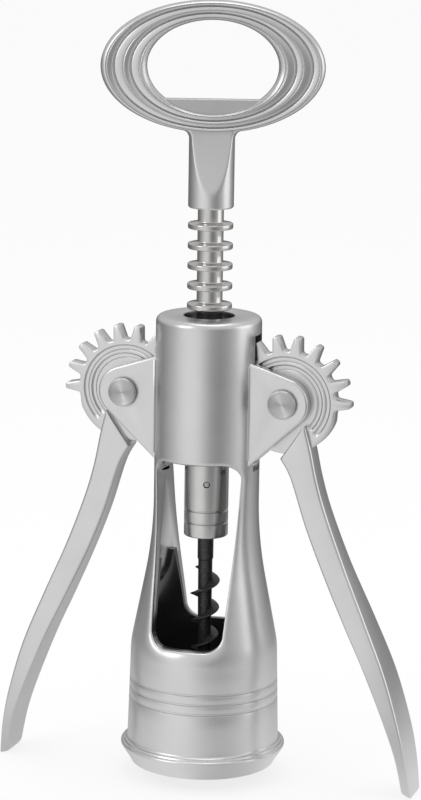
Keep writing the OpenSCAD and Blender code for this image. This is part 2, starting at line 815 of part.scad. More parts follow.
module worm_cross_pin() {
    color("gainsboro")
        rotate([0, 0, handle_turn])
            cross_pin_rod(cross_pin_r, 2 * holder_r - edge_break);
}

// Core radius at height z: a slight taper, then the point
function worm_core_at(z) =
    let (t = (flight_top_z - z) / (flight_top_z - tip_z),
         body = worm_core_r * (1 - (1 - core_tip_share) * t * t))
    z > tip_z + worm_point_h ? body : body * pow((z - tip_z) / worm_point_h, point_power);

// A point at angle a, radius r and height z
function polar(a, r, z) = [r * cos(a), r * sin(a), z];

// The worm below its shank, as one skin that runs down the helix.
// Each row holds the upper root, the edge and the lower root of the flight.
module worm_screw() {
    n = worm_steps;
    turns = (flight_top_z - tip_z - flight_half_t) / worm_pitch;
    c = floor(turns * n);
    phase = 360 * (flight_top_z - worm_side_z) / worm_pitch;
    reach = worm_r - worm_core_r;
    rows = [for (i = [0:c])
        let (s = i / n, z = flight_top_z - s * worm_pitch, a = phase - 360 * s,
             grow = min(1, start_share + s / flight_grow_turns),
             fade = min(1, start_share + (c - i) / n * worm_pitch / worm_point_h),
             half = flight_half_t * grow * fade)
        each [polar(a, worm_core_at(z + half), z + half),
              polar(a, worm_core_at(z) + reach * grow * fade, z),
              polar(a, worm_core_at(z - half), z - half)]];
    head = [for (i = [0:n - 1]) polar(phase - 360 * i / n, worm_core_r, collar_z + edge_break)];
    h = 3 * (c + 1);
    tip = h + n;
    flanks = [for (i = [0:c - 1], k = [0, 1]) let (a = 3 * i + k) each quad(a, a + 1, a + 3, a + 4)];
    core = [for (i = [0:c - n - 1]) each quad(3 * i + 2, 3 * (i + n), 3 * i + 5, 3 * (i + n) + 3)];
    top = [for (i = [0:n - 2]) each quad(h + i, 3 * i, h + i + 1, 3 * i + 3)];
    seam = 3 * (n - 1);
    top_seam = [[h + n - 1, seam, h], [h, seam, 0], [0, seam, 2], [2, seam, 3 * n], [0, 2, 1]];
    low = 3 * (c - n) + 2;
    foot_seam = [[low, 3 * c, low + 3], [3 * c, 3 * c + 2, low + 3], [3 * c + 2, tip, low + 3],
                 [3 * c, 3 * c + 1, 3 * c + 2]];
    foot = [for (i = [c - n + 1:c - 1]) [3 * i + 2, tip, 3 * i + 5]];
    cap = [for (i = [1:n - 2]) [h, h + i, h + i + 1]];
    polyhedron(concat(rows, head, [[0, 0, tip_z]]),
               concat(flanks, core, top, top_seam, foot_seam, foot, cap));
}

// Two triangles between one edge, upper a to lower b, and the next, c to d
function quad(a, b, c, d) = [[a, b, c], [c, b, d]];

module worm() {
    color("dimgray")
        rotate([0, 0, handle_turn])
            difference() {
                union() {
                    translate([0, 0, collar_z])
                        cylinder(r = shank_r, h = shank_top_z - collar_z);
                    worm_screw();
                }
                cross_pin_rod(cross_pin_r + seat_play, 2 * holder_r);
            }
}

housing();
bell_liner();
left_pivot_pin();
right_pivot_pin();
left_lever();
right_lever();
rack_shaft();
spindle();
handle();
worm_holder();
worm_cross_pin();
worm();
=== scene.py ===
"""Wing corkscrew in satin nickel: the finished pieces, their materials, the light and the camera.

Sizes are named in millimetres and turned to metres where the points are made.
"""
import logging
import math
from dataclasses import dataclass, field
from enum import Enum

import bmesh
import bpy
from mathutils import Matrix, Vector


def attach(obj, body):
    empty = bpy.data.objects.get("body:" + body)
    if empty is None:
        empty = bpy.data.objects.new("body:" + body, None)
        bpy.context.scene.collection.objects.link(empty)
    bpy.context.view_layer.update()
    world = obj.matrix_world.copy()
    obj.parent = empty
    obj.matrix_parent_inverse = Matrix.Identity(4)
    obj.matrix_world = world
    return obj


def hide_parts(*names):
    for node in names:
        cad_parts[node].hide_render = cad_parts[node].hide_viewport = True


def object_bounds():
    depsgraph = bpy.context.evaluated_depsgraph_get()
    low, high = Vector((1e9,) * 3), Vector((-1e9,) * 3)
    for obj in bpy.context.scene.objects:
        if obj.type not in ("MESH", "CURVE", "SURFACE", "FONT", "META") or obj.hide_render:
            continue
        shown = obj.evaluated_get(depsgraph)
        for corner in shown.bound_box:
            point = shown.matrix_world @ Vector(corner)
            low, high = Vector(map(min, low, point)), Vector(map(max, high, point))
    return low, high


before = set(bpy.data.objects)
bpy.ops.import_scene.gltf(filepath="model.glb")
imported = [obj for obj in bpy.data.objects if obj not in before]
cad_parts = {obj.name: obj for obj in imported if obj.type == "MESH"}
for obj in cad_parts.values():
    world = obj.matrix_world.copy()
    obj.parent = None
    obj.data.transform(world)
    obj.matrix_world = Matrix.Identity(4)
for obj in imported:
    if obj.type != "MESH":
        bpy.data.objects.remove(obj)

MM = 0.001
CAD_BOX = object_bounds()
# Where the right lever's pin stands, and how far the handle is turned, in millimetres and degrees
PIVOT_X = 19.7
PIVOT_Z = 89.7
HANDLE_TURN = 17.8
# How far the floor lies under the corkscrew, in metres
FLOOR_GAP = 0.0003
# How small a skin's last loop is where it runs out to a point: a share of its size
POINT_SHARE = 0.02
log = logging.getLogger("wing_corkscrew")

Point = tuple[float, float, float]
Ring = list[Point]
Colour = tuple[float, float, float, float]
Piece = bpy.types.Object
Tree = bpy.types.NodeTree
Socket = bpy.types.NodeSocket


class Side(Enum):
    """The two levers and what belongs to them."""

    LEFT = -1
    RIGHT = 1

    @property
    def label(self) -> str:
        """Returns the side's name in small letters."""
        return self.name.lower()


# Small sums

def mix(a: float, b: float, t: float) -> float:
    """Returns the value at share t of the way from a to b."""
    return a + (b - a) * t


def span(start: float, end: float, steps: int) -> list[float]:
    """Returns evenly spaced values from start to end, with both of them."""
    return [mix(start, end, i / steps) for i in range(steps + 1)]


def smooth(t: float) -> float:
    """Returns a soft step from 0 to 1 for t from 0 to 1."""
    t = max(0.0, min(1.0, t))
    return t * t * (3 - 2 * t)


def read_table(rows: list[tuple[float, float]], x: float) -> float:
    """Reads a table of (x, y) rows with straight lines between them.

    Args:
        rows: the rows, in rising order of x.
        x: where to read.

    Returns:
        The value at x, held level past both ends.
    """
    if x <= rows[0][0]:
        return rows[0][1]
    for (x0, y0), (x1, y1) in zip(rows, rows[1:]):
        if x <= x1:
            return mix(y0, y1, (x - x0) / (x1 - x0))
    return rows[-1][1]


def curve_at(points: list[Vector], s: float) -> Vector:
    """Returns the place s along a smooth curve through the points, s counting them from 0.

    Args:
        points: the points, in order.
        s: the place, counted in points from the first.

    Returns:
        The point there.
    """
    last = len(points) - 1
    i = min(int(s), last - 1)
    t = s - i
    a, b = points[max(i - 1, 0)], points[i]
    c, d = points[i + 1], points[min(i + 2, last)]
    return (2 * b + (c - a) * t + (2 * a - 5 * b + 4 * c - d) * t ** 2
            + (3 * b - a - 3 * c + d) * t ** 3) / 2


def arc(cx: float, cy: float, r: float, a0: float, a1: float, steps: int) -> list[tuple[float, float]]:
    """Returns points along an arc, with its angles in degrees."""
    angles = [math.radians(a) for a in span(a0, a1, steps)]
    return [(cx + r * math.cos(a), cy + r * math.sin(a)) for a in angles]


def rounded_corner(a: Vector, p: Vector, b: Vector, r: float, steps: int) -> list[Vector]:
    """Rounds the corner p of an outline that comes from a and goes on to b.

    Args:
        a: the corner before.
        p: the corner to round.
        b: the corner after.
        r: the radius.
        steps: segments of the round.

    Returns:
        The points of the round, from the side of a to the side of b.
    """
    u, v = (a - p).normalized(), (b - p).normalized()
    half = math.acos(max(-1.0, min(1.0, u.dot(v)))) / 2
    centre = p + (u + v).normalized() * r / math.sin(half)
    start = p + u * r / math.tan(half) - centre
    turn = start.angle_signed(p + v * r / math.tan(half) - centre)
    out = []
    for i in range(steps + 1):
        q = start.copy()
        q.rotate(Matrix.Rotation(-turn * i / steps, 2))
        out.append(centre + q)
    return out


def turned(points: list[Point], degrees: float) -> list[Point]:
    """Returns the points turned about the shaft axis."""
    m = Matrix.Rotation(math.radians(degrees), 3, "Z")
    return [tuple(m @ Vector(p)) for p in points]


# Modelling

class Skin:
    """A skin that grows from one loop of edges, extruded again and again to the next ring."""

    def __init__(self, name: str, rings: list[Ring]) -> None:
        """Adds the first loop and extrudes it to each next ring.

        Args:
            name: the piece's name.
            rings: each loop's points, in millimetres.
        """
        deselect()
        self.count = len(rings[0])
        bpy.ops.mesh.primitive_circle_add(vertices=self.count, radius=MM, fill_type="NOTHING")
        self.piece = bpy.context.object
        self.piece.name = name
        bpy.ops.object.mode_set(mode="EDIT")
        mesh = bmesh.from_edit_mesh(self.piece.data)
        order = mesh.verts.layers.int.new("order")
        mesh.verts.ensure_lookup_table()
        for i, vertex in enumerate(mesh.verts):
            vertex[order] = i
        self.place(rings[0])
        for ring in rings[1:]:
            bpy.ops.mesh.extrude_region_move()
            self.place(ring)

    def place(self, ring: Ring) -> None:
        """Puts the newest loop's vertices on the ring.

        Args:
            ring: the points, in millimetres.
        """
        mesh = bmesh.from_edit_mesh(self.piece.data)
        order = mesh.verts.layers.int["order"]
        mesh.verts.ensure_lookup_table()
        for vertex in mesh.verts[-self.count:]:
            vertex.co = Vector(ring[vertex[order]]) * MM
        bmesh.update_edit_mesh(self.piece.data)

    def closed(self, angle: float = 35.0) -> Piece:
        """Closes the newest and the first loop with a face each, then finishes the skin.

        Args:
            angle: faces that meet at less than this many degrees are shaded as one.

        Returns:
            The finished object.
        """
        bpy.ops.mesh.edge_face_add()
        bpy.ops.mesh.select_all(action="DESELECT")
        mesh = bmesh.from_edit_mesh(self.piece.data)
        mesh.verts.ensure_lookup_table()
        for vertex in mesh.verts[:self.count]:
            vertex.select = True
        mesh.select_flush(True)
        bmesh.update_edit_mesh(self.piece.data)
        bpy.ops.mesh.edge_face_add()
        return self.done(angle)

    def done(self, angle: float = 35.0) -> Piece:
        """Welds the skin, turns its faces outwards and shades it.

        Args:
            angle: faces that meet at less than this many degrees are shaded as one.

        Returns:
            The finished object.
        """
        weld(0.002, 0.001)
        shade(self.piece, angle)
        return self.piece


def weld(gap: float, sliver: float) -> None:
    """Welds the mesh in edit mode, drops its slivers and turns its faces outwards.

    Args:
        gap: vertices closer than this become one, in millimetres.
        sliver: edges shorter than this go, in millimetres.
    """
    bpy.ops.mesh.select_all(action="SELECT")
    bpy.ops.mesh.remove_doubles(threshold=gap * MM)
    bpy.ops.mesh.dissolve_degenerate(threshold=sliver * MM)
    bpy.ops.mesh.normals_make_consistent(inside=False)
    bpy.ops.object.mode_set(mode="OBJECT")


def deselect() -> None:
    """Leaves edit mode and clears the selection."""
    if bpy.context.object and bpy.context.object.mode != "OBJECT":
        bpy.ops.object.mode_set(mode="OBJECT")
    bpy.ops.object.select_all(action="DESELECT")


def pick(*pieces: Piece) -> None:
    """Selects the pieces and makes the first one active.

    Args:
        pieces: the pieces.
    """
    deselect()
    for piece in pieces:
        piece.select_set(True)
    bpy.context.view_layer.objects.active = pieces[0]


def shade(piece: Piece, angle: float) -> None:
    """Shades the piece smooth, but for edges sharper than the angle in degrees."""
    pick(piece)
    bpy.ops.object.shade_smooth_by_angle(angle=math.radians(angle))


def join(*pieces: Piece) -> Piece:
    """Joins the pieces into the first one and returns it.

    Args:
        pieces: the pieces, of which the first keeps its name.

    Returns:
        The joined piece.
    """
    pick(*pieces)
    bpy.ops.object.join()
    return bpy.context.object


def lathe(name: str, profile: list[tuple[float, float]], steps: int, place: Vector | None = None,
          along_y: bool = False, turn: float = 0.0) -> Skin:
    """Turns a profile about an axis.

    Args:
        name: the piece's name.
        profile: points as (radius, height).
        steps: segments round the axis.
        place: where the profile's zero lies.
        along_y: the axis is Y, with the height towards the front, and not Z.
        turn: turns the first segment, in degrees.

    Returns:
        The open skin, with its newest loop at the profile's end.
    """
    at = place or Vector((0, 0, 0))
    rings = []
    for r, h in profile:
        ring = []
        for i in range(steps):
            a = math.radians(turn) + 2 * math.pi * i / steps
            x, y = r * math.cos(a), r * math.sin(a)
            p = Vector((x, -h, y)) if along_y else Vector((x, y, h))
            ring.append(tuple(at + p))
        rings.append(ring)
    return Skin(name, rings)


def plate(name: str, outline: list[Vector], y0: float, y1: float, edge: float) -> Piece:
    """Makes a flat plate from a front view outline, with rounded edges.

    Args:
        name: the piece's name.
        outline: points as (x, z).
        y0: the front face.
        y1: the back face.
        edge: width of the rounded edge.

    Returns:
        The plate.
    """
    piece = Skin(name, [[(p.x, y, p.y) for p in outline] for y in (y0, y1)]).closed()
    if edge > 0:
        bevel(piece, edge, 3)
    return piece


def bevel(piece: Piece, width: float, segments: int) -> None:
    """Rounds the piece's sharp edges by a width in millimetres.

    Args:
        piece: the piece.
        width: the width of the round.
        segments: the steps of the round.
    """
    pick(piece)
    bpy.ops.object.modifier_add(type="BEVEL")
    tool = piece.modifiers[-1]
    tool.width = width * MM
    tool.segments = segments
    tool.limit_method = "ANGLE"
    tool.angle_limit = math.radians(40)
    tool.harden_normals = False
    bpy.ops.object.modifier_apply(modifier=tool.name)
    shade(piece, 35)


def cut(piece: Piece, tool_piece: Piece) -> None:
    """Cuts the tool out of the piece and removes the tool.

    Args:
        piece: the piece to cut.
        tool_piece: the solid that is cut out of it.
    """
    pick(piece)
    bpy.ops.object.modifier_add(type="BOOLEAN")
    tool = piece.modifiers[-1]
    tool.operation = "DIFFERENCE"
    tool.solver = "EXACT"
    tool.object = tool_piece
    bpy.ops.object.modifier_apply(modifier=tool.name)
    pick(tool_piece)
    bpy.ops.object.delete()


def block(lo: Point, hi: Point) -> Piece:
    """Returns a plain box between two corners, in millimetres, to cut with.

    Args:
        lo: the lowest corner.
        hi: the highest corner.

    Returns:
        The box.
    """
    deselect()
    middle = (Vector(lo) + Vector(hi)) / 2 * MM
    bpy.ops.mesh.primitive_cube_add(size=1, location=middle, scale=(Vector(hi) - Vector(lo)) * MM)
    bpy.ops.object.transform_apply(location=True, rotation=True, scale=True)
    return bpy.context.object


def rod_along_y(centre: Point, radius: float, turn: float = 0.0, length: float = 20.0) -> Piece:
    """Returns a plain rod along Y to cut with, turned about the shaft axis in degrees.

    Args:
        centre: its middle, in millimetres.
        radius: its radius.
        turn: its turn about the shaft axis.
        length: its length, past both faces of what it cuts.

    Returns:
        The rod.
    """
    deselect()
    bpy.ops.mesh.primitive_cylinder_add(
        vertices=48, radius=radius * MM, depth=length * MM, location=Vector(centre) * MM,
        rotation=(math.pi / 2, 0, math.radians(turn)))
    bpy.ops.object.transform_apply(location=True, rotation=True, scale=True)
    return bpy.context.object


# Finishes

def linear(hex_colour: str) -> Colour:
    """Turns an sRGB hex colour into the linear values that the shaders take.

    Args:
        hex_colour: the colour as six hex digits.

    Returns:
        The linear colour with full alpha.
    """
    out = []
    for i in (0, 2, 4):
        c = int(hex_colour[i:i + 2], 16) / 255
        out.append(c / 12.92 if c <= 0.04045 else ((c + 0.055) / 1.055) ** 2.4)
    return (*out, 1.0)


def add(tree: Tree, kind: str, links: dict | None = None, values: dict | None = None,
        **settings: object) -> bpy.types.Node:
    """Adds one node.

    Args:
        tree: the node tree.
        kind: the node's type name, without ShaderNode before it.
        links: input name or index to the output socket that feeds it.
        values: input name or index to its own value.
        settings: the node's properties.

    Returns:
        The node.
    """
    node = tree.nodes.new("ShaderNode" + kind)
    for key, value in settings.items():
        setattr(node, key, value)
    for key, value in (values or {}).items():
        node.inputs[key].default_value = value
    for key, socket in (links or {}).items():
        tree.links.new(socket, node.inputs[key])
    return node


def empty_tree(owner: bpy.types.Material | bpy.types.World) -> Tree:
    """Returns the node tree of a new material or world, emptied.

    Args:
        owner: the material or world.

    Returns:
        Its node tree, with no nodes.
    """
    owner.use_nodes = True
    owner.node_tree.nodes.clear()
    return owner.node_tree


def noise(tree: Tree, place: Socket, size_mm: float, detail: float, roughness: float) -> Socket:
    """Adds a noise and returns its value.

    Args:
        tree: the node tree.
        place: the Object coordinates.
        size_mm: the size of its patches.
        detail: how many finer layers it has.
        roughness: how strong those layers are.

    Returns:
        The noise, from 0 to 1.
    """
    return add(tree, "TexNoise", {"Vector": place},
               {"Scale": 1 / (size_mm * MM), "Detail": detail, "Roughness": roughness}).outputs["Fac"]


def blend(tree: Tree, share: Socket, first: Socket | Colour, second: Colour) -> Socket:
    """Adds a mix of two colours.

    Args:
        tree: the node tree.
        share: how much of the second colour.
        first: the first colour, or the socket that gives it.
        second: the second colour.

    Returns:
        The mixed colour.
    """
    node = add(tree, "Mix", {"Factor": share}, data_type="RGBA")
    if isinstance(first, Socket):
        tree.links.new(first, node.inputs["A"])
    else:
        node.inputs["A"].default_value = first
    node.inputs["B"].default_value = second
    return node.outputs["Result"]


@dataclass(frozen=True)
class Metal:
    """A nickel plated metal surface."""

    name: str
    colour: str
    dark_colour: str
    roughness: float
    roughness_spread: float
    grain_mm: float
    grain_height_mm: float
    cloud_mm: float
    anisotropy: float = 0.0
    lay_axis: str = "Z"
    turned_grooves_mm: float = 0.0
    # Painted shade: the darker colour given to the faces inside the barrel and bell
    painted_shade_colour: str = ""

    def build(self) -> bpy.types.Material:
        """Builds the node material and returns it.

        Returns:
            The material.
        """
        material = bpy.data.materials.new(self.name)
        tree = empty_tree(material)
        place = add(tree, "TexCoord").outputs["Object"]
        cloud = noise(tree, place, self.cloud_mm, 3.0, 0.55)
        grain = noise(tree, place, self.grain_mm, 2.0, 0.6)
        colour = blend(tree, cloud, linear(self.dark_colour), linear(self.colour))
        # Painted shade: the faces marked inside the barrel and bell take the darker colour
        if self.painted_shade_colour:
            inside = add(tree, "Attribute", attribute_name="painted_shade").outputs["Fac"]
            colour = blend(tree, inside, colour, linear(self.painted_shade_colour))
        rough = add(tree, "MapRange", {"Value": grain}, {
            "From Min": 0.3, "From Max": 0.7,
            "To Min": self.roughness - self.roughness_spread,
            "To Max": self.roughness + self.roughness_spread})
        height = self.turned_lines(tree, place, grain) if self.turned_grooves_mm > 0 else grain
        bump = add(tree, "Bump", {"Height": height},
                   {"Strength": 0.6, "Distance": self.grain_height_mm * MM})
        shader = add(tree, "BsdfPrincipled",
                     {"Base Color": colour, "Roughness": rough.outputs["Result"],
                      "Normal": bump.outputs["Normal"]},
                     {"Metallic": 1.0, "Anisotropic": self.anisotropy, "Anisotropic Rotation": 0.25})
        if self.anisotropy > 0:
            lay = add(tree, "Tangent", direction_type="RADIAL", axis=self.lay_axis)
            tree.links.new(lay.outputs["Tangent"], shader.inputs["Tangent"])
        add(tree, "OutputMaterial", {"Surface": shader.outputs["BSDF"]})
        return material

    def turned_lines(self, tree: Tree, place: Socket, grain: Socket) -> Socket:
        """Adds the fine lines that a lathe tool leaves along the axis.

        Args:
            tree: the node tree.
            place: the Object coordinates.
            grain: the height so far.

        Returns:
            The height with the lines on it.
        """
        axis = add(tree, "SeparateXYZ", {"Vector": place})
        step = add(tree, "Math", {0: axis.outputs[self.lay_axis]},
                   {1: 1 / (self.turned_grooves_mm * MM)}, operation="MULTIPLY")
        along = add(tree, "CombineXYZ", {"Z": step.outputs["Value"]})
        lines = add(tree, "TexNoise", {"Vector": along.outputs["Vector"]},
                    {"Scale": 1.0, "Detail": 2.0, "Roughness": 0.5})
        both = add(tree, "Math", {0: lines.outputs["Fac"], 1: grain}, operation="ADD")
        return both.outputs["Value"]


@dataclass(frozen=True)
class Coating:
    """A dark coating or moulded plastic over the whole surface."""

    name: str
    colour: str
    speck_colour: str
    roughness: float
    grain_mm: float
    grain_height_mm: float
    speck_share: float
    coat: float = 0.0

    def build(self) -> bpy.types.Material:
        """Builds the node material and returns it.

        Returns:
            The material.
        """
        material = bpy.data.materials.new(self.name)
        tree = empty_tree(material)
        place = add(tree, "TexCoord").outputs["Object"]
        grain = noise(tree, place, self.grain_mm, 3.0, 0.6)
        specks = add(tree, "MapRange", {"Value": grain},
                     {"From Min": 1 - self.speck_share, "From Max": 1.0 - self.speck_share * 0.6,
                      "To Min": 0.0, "To Max": 1.0})
        tint = blend(tree, specks.outputs["Result"], linear(self.colour), linear(self.speck_colour))
        bump = add(tree, "Bump", {"Height": grain},
                   {"Strength": 0.6, "Distance": self.grain_height_mm * MM})
        shader = add(tree, "BsdfPrincipled",
                     {"Base Color": tint, "Normal": bump.outputs["Normal"]},
                     {"Roughness": self.roughness, "Coat Weight": self.coat, "Coat Roughness": 0.06})
        add(tree, "OutputMaterial", {"Surface": shader.outputs["BSDF"]})
        return material


class Finish(Enum):
    """The finishes."""

    # Zinc casting, vibration polished and satin nickel plated: a soft, slightly cloudy grey sheen, with
    # painted shade in dark grey on the faces inside the barrel and bell
    SATIN_NICKEL = Metal("satin_nickel_cast_zinc", "d6d6d6", "c9c9ca", 0.30, 0.03, 0.16, 0.004, 9.0,
                         painted_shade_colour="6c6c6e")
    # Free-cutting steel, turned and bright nickel plated: sharper, with faint rings
    TURNED_STEEL = Metal("turned_nickel_steel", "cbcac8", "bdbcba", 0.13, 0.03, 0.12, 0.002, 5.0,
                         anisotropy=0.35, lay_axis="Z", turned_grooves_mm=0.12)
    # The same steel with a finer, duller turned face
    DULL_STEEL = Metal("dull_turned_nickel_steel", "cececd", "c1c1c0", 0.25, 0.03, 0.12, 0.003, 5.0,
                       anisotropy=0.3, lay_axis="Z", turned_grooves_mm=0.12)
    # Rivet head spun with a forming tool: concentric marks that glint in a cross
    SPUN_STEEL = Metal("spun_rivet_steel", "cdcdcd", "bfbfbf", 0.46, 0.02, 0.12, 0.001, 3.0,
                       anisotropy=0.96, lay_axis="Y")
    # Steel auger with a thin dark non-stick coat: satin black with fine specks
    BLACK_COAT = Coating("black_nonstick_coat", "202022", "6c6c70", 0.42, 0.24, 0.012, 0.45)
    # Injection moulded ABS, high gloss black
    BLACK_PLASTIC = Coating("black_gloss_abs", "1b1b1c", "232325", 0.36, 0.5, 0.002, 0.3, coat=0.3)


class Paint:
    """Hands out the finishes, each built once."""

    def __init__(self) -> None:
        """Builds every finish."""
        self.materials = {finish: finish.value.build() for finish in Finish}

    def dress(self, piece: Piece, finish: Finish) -> None:
        """Gives a piece its finish.

        Args:
            piece: the piece.
            finish: its finish.
        """
        piece.data.materials.clear()
        piece.data.materials.append(self.materials[finish])


# Sub-assemblies

@dataclass
class Housing:
    """The cast body: barrel, lugs, struts and bell. Lengths in millimetres."""

    barrel_r: float = 12.5
    body_h: float = 108.8
    barrel_wall: float = 2.2
    bell_wall: float = 1.8
    top_plate: float = 3.5
    top_round: float = 1.5
    flare_angle: float = 11.0
    shoulder_z: float = 27.0
    turn_h: float = 4.5
    flare_run: float = 14.5
    flare_blend: float = 19.0
    bell_draft: float = 0.6
    flange_out: float = 1.55
    flange_h: float = 5.5
    flange_round: float = 0.7
    # The rim's round starts this share of its radius under the flange's top
    flange_drop: float = 1.6
    flange_fillet: float = 0.8
    fillet_lift: float = 0.75
    foot_in: float = 0.9
    foot_step: float = 0.4
    foot_round: float = 0.5
    # Heights of the extra rings on the bell's outside, from the top, and on its inside
    bell_rows: tuple = (25, 12, 8)
    bell_inner_row: float = 10
    barrel_rows: tuple = (84, 95)
    barrel_inner_row: float = 90
    groove_z: float = 16.1
    groove_pitch: float = 2.35
    groove_w: float = 0.7
    groove_d: float = 0.3
    # A groove's section from its top: shares of its half width, shares of its depth
    groove_shares: tuple = ((1.15, 0.0), (0.85, 0.12), (0.4, 0.9), (0, 1), (-0.4, 0.9), (-0.85, 0.12),
                            (-1.15, 0.0))
    sill_half_w: float = 8.5
    head_half_w: float = 10.6
    sill_z: float = 31.0
    head_z: float = 74.8
    sill_corner: float = 3.8
    head_corner: float = 3.6
    rim_side_w: float = 2.0
    rim_sill_w: float = 3.0
    rim_head_w: float = 1.1
    rim_depth: float = 1.2
    patch_top_z: float = 78.0
    top_hole_r: float = 5.95
    hole_round: float = 0.3
    slot_from_x: float = 8.0
    slot_to_x: float = 14.0
    slot_half_w: float = 2.6
    slot_foot_z: float = 72.5
    slot_head_z: float = 105.0
    lug_r: float = 6.15
    lug_in: float = 2.0
    lug_t: float = 2.7
    lug_top_z: float = 98.5
    lug_foot_z: float = 74.8
    lug_edge: float = 0.5
    lug_fillet: float = 0.8
    # How far the fillet stays from the lug's foot and top, runs out there, and is sunk into the metal
    fillet_foot: float = 0.9
    fillet_top: float = 0.5
    fillet_end: float = 0.5
    fillet_sink: float = 0.3
    bury_share: float = 0.85
    pin_bore_r: float = 2.22
    around: int = 120
    corner_steps: int = 8
    level_steps: int = 44
    upright_steps: int = 34
    # Rings from the patch's border to the cut face, over the rim, and out to the border again
    inside_steps: int = 6
    rim_steps: int = 6
    outside_steps: int = 12
    outline: list[tuple[float, float]] = field(default_factory=list)

    def __post_init__(self) -> None:
        """Works out the outer outline from the shoulder to the straight barrel."""
        slope = math.radians(self.flare_angle)
        flare_r = self.flare_blend / math.sin(slope)
        turn_r = self.turn_h / math.sin(slope)
        top_z = self.shoulder_z + self.turn_h + self.flare_run + self.flare_blend
        foot_r = self.barrel_r + flare_r * (1 - math.cos(slope)) + self.flare_run * math.tan(slope)
        self.shoulder_r = foot_r + turn_r * (1 - math.cos(slope))
        self.bell_r = self.shoulder_r + self.bell_draft
        bend = arc(self.shoulder_r - turn_r, self.shoulder_z, turn_r, 0, self.flare_angle, 12)
        neck = arc(self.barrel_r + flare_r, top_z, flare_r, 180 + self.flare_angle, 180, 24)
        self.outline = [(z, r) for r, z in bend + neck] + [(self.body_h, self.barrel_r)]

    def outer_r(self, z: float) -> float:
        """Returns the outer radius at height z, above the shoulder."""
        return read_table(self.outline, z)

    def inner_r(self, z: float) -> float:
        """Returns the inner radius at height z, drawn out to the window's flat side near its head.

        Args:
            z: the height.

        Returns:
            The radius.
        """
        run = (z - self.shoulder_z - self.turn_h) / self.flare_run
        wall = mix(self.bell_wall, self.barrel_wall, max(0.0, min(1.0, run)))
        half_w = self.half_width(z) if z <= self.head_z else self.head_half_w - (z - self.head_z)
        flat = half_w if z > self.sill_z + self.sill_corner else 0.0
        return max(self.outer_r(z) - wall, flat)

    def half_width(self, z: float) -> float:
        """Returns the window's half width at height z, without its rounded corners."""
        return mix(self.sill_half_w, self.head_half_w, (z - self.sill_z) / (self.head_z - self.sill_z))

    def window_outline(self) -> list[Vector]:
        """Returns the window in front view, from the lower left corner round by the right.

        Returns:
            The closed outline.
        """
        corners = [Vector((-self.sill_half_w, self.sill_z)), Vector((self.sill_half_w, self.sill_z)),
                   Vector((self.head_half_w, self.head_z)), Vector((-self.head_half_w, self.head_z))]
        radii = [self.sill_corner, self.sill_corner, self.head_corner, self.head_corner]
        rounds = [rounded_corner(corners[i - 1], corners[i], corners[(i + 1) % 4], radii[i],
                                 2 * self.corner_steps) for i in range(4)]
        out = []
        for i in range(4):
            leave, reach = rounds[i][self.corner_steps:], rounds[(i + 1) % 4][:self.corner_steps]
            steps = self.level_steps if i % 2 == 0 else self.upright_steps
            line = [leave[-1].lerp(reach[0], k / steps) for k in range(1, steps)]
            out += leave + line + reach
        return out

    def frame_outline(self, window: list[Vector]) -> list[tuple[float, float]]:
        """Returns the patch's border as (angle, height), one point for each window point.

        Args:
            window: the window's outline.

        Returns:
            The border's points, in the window's order.
        """
        across = self.level_steps + 2 * self.corner_steps
        up = self.upright_steps + 2 * self.corner_steps
        low, high = self.shoulder_z, self.patch_top_z
        z0 = window[across].y
        z1 = window[across + up].y
        rise = [low + (window[across + k].y - z0) * (high - low) / (z1 - z0) for k in range(up + 1)]
        out = [(mix(-90, 90, k / across), low) for k in range(across)]
        out += [(90.0, rise[k]) for k in range(up)]
        out += [(mix(90, -90, k / across), high) for k in range(across)]
        out += [(-90.0, rise[up - k]) for k in range(up)]
        return out

    def on_wall(self, angle: float, z: float, inner: bool = False) -> Point:
        """Returns the point of the outer or inner wall at an angle in degrees from the front.

        Args:
            angle: degrees from the front.
            z: the height.
            inner: the inner wall, and not the outer.

        Returns:
            The point.
        """
        r = self.inner_r(z) if inner else self.outer_r(z)
        a = math.radians(angle)
        return (r * math.sin(a), -r * math.cos(a), z)

    def window_patch(self, name: str, turn: float) -> Skin:
        """Makes the wall round one window, inner side, cut face, rounded rim and outer side.

        Args:
            name: the piece's name.
            turn: turns the patch about the shaft axis, in degrees.

        Returns:
            The open skin.
        """
        window = self.window_outline()
        border = self.frame_outline(window)
        count = len(window)
        inner_edge, corners, feet, tops = [], [], [], []
        for i, p in enumerate(window):
            r_in, r_out = self.inner_r(p.y), self.outer_r(p.y)
            inside = math.degrees(math.asin(max(-1.0, min(1.0, p.x / r_in))))
            inner_edge.append((inside, p.y))
            out_angle = math.asin(p.x / r_out)
            tangent = window[(i + 1) % count] - window[i - 1]
            spread = Vector((tangent.x / math.cos(out_angle), tangent.y)).normalized()
            normal = Vector((spread.y, -spread.x))
            width = mix(self.rim_side_w, self.rim_sill_w, max(0.0, -normal.y))
            width = mix(width, self.rim_head_w, max(0.0, normal.y))
            top = (math.degrees(out_angle + width * normal.x / r_out), p.y + width * normal.y)
            corner = Vector((p.x, -math.sqrt(r_out ** 2 - p.x ** 2), p.y))
            corners.append(corner)
            feet.append(corner + Vector((0, self.rim_depth, 0)))
            tops.append(top)
        rings = []
        for t in span(0, 1, self.inside_steps)[:-1]:
            rings.append([self.on_wall(mix(b[0], e[0], t), mix(b[1], e[1], t), True)
                          for b, e in zip(border, inner_edge)])
        rings.append([self.on_wall(a, z, True) for a, z in inner_edge])
        for t in span(0, 1, self.rim_steps):
            ring = []
            for corner, foot, top in zip(corners, feet, tops):
                end = Vector(self.on_wall(*top))
                ring.append(tuple((1 - t) ** 2 * foot + 2 * t * (1 - t) * corner + t ** 2 * end))
            rings.append(ring)
        for t in span(0, 1, self.outside_steps)[1:]:
            rings.append([self.on_wall(mix(top[0], b[0], t), mix(top[1], b[1], t))
                          for top, b in zip(tops, border)])
        rings = [turned(ring, turn) for ring in rings]
        return Skin(name, rings)

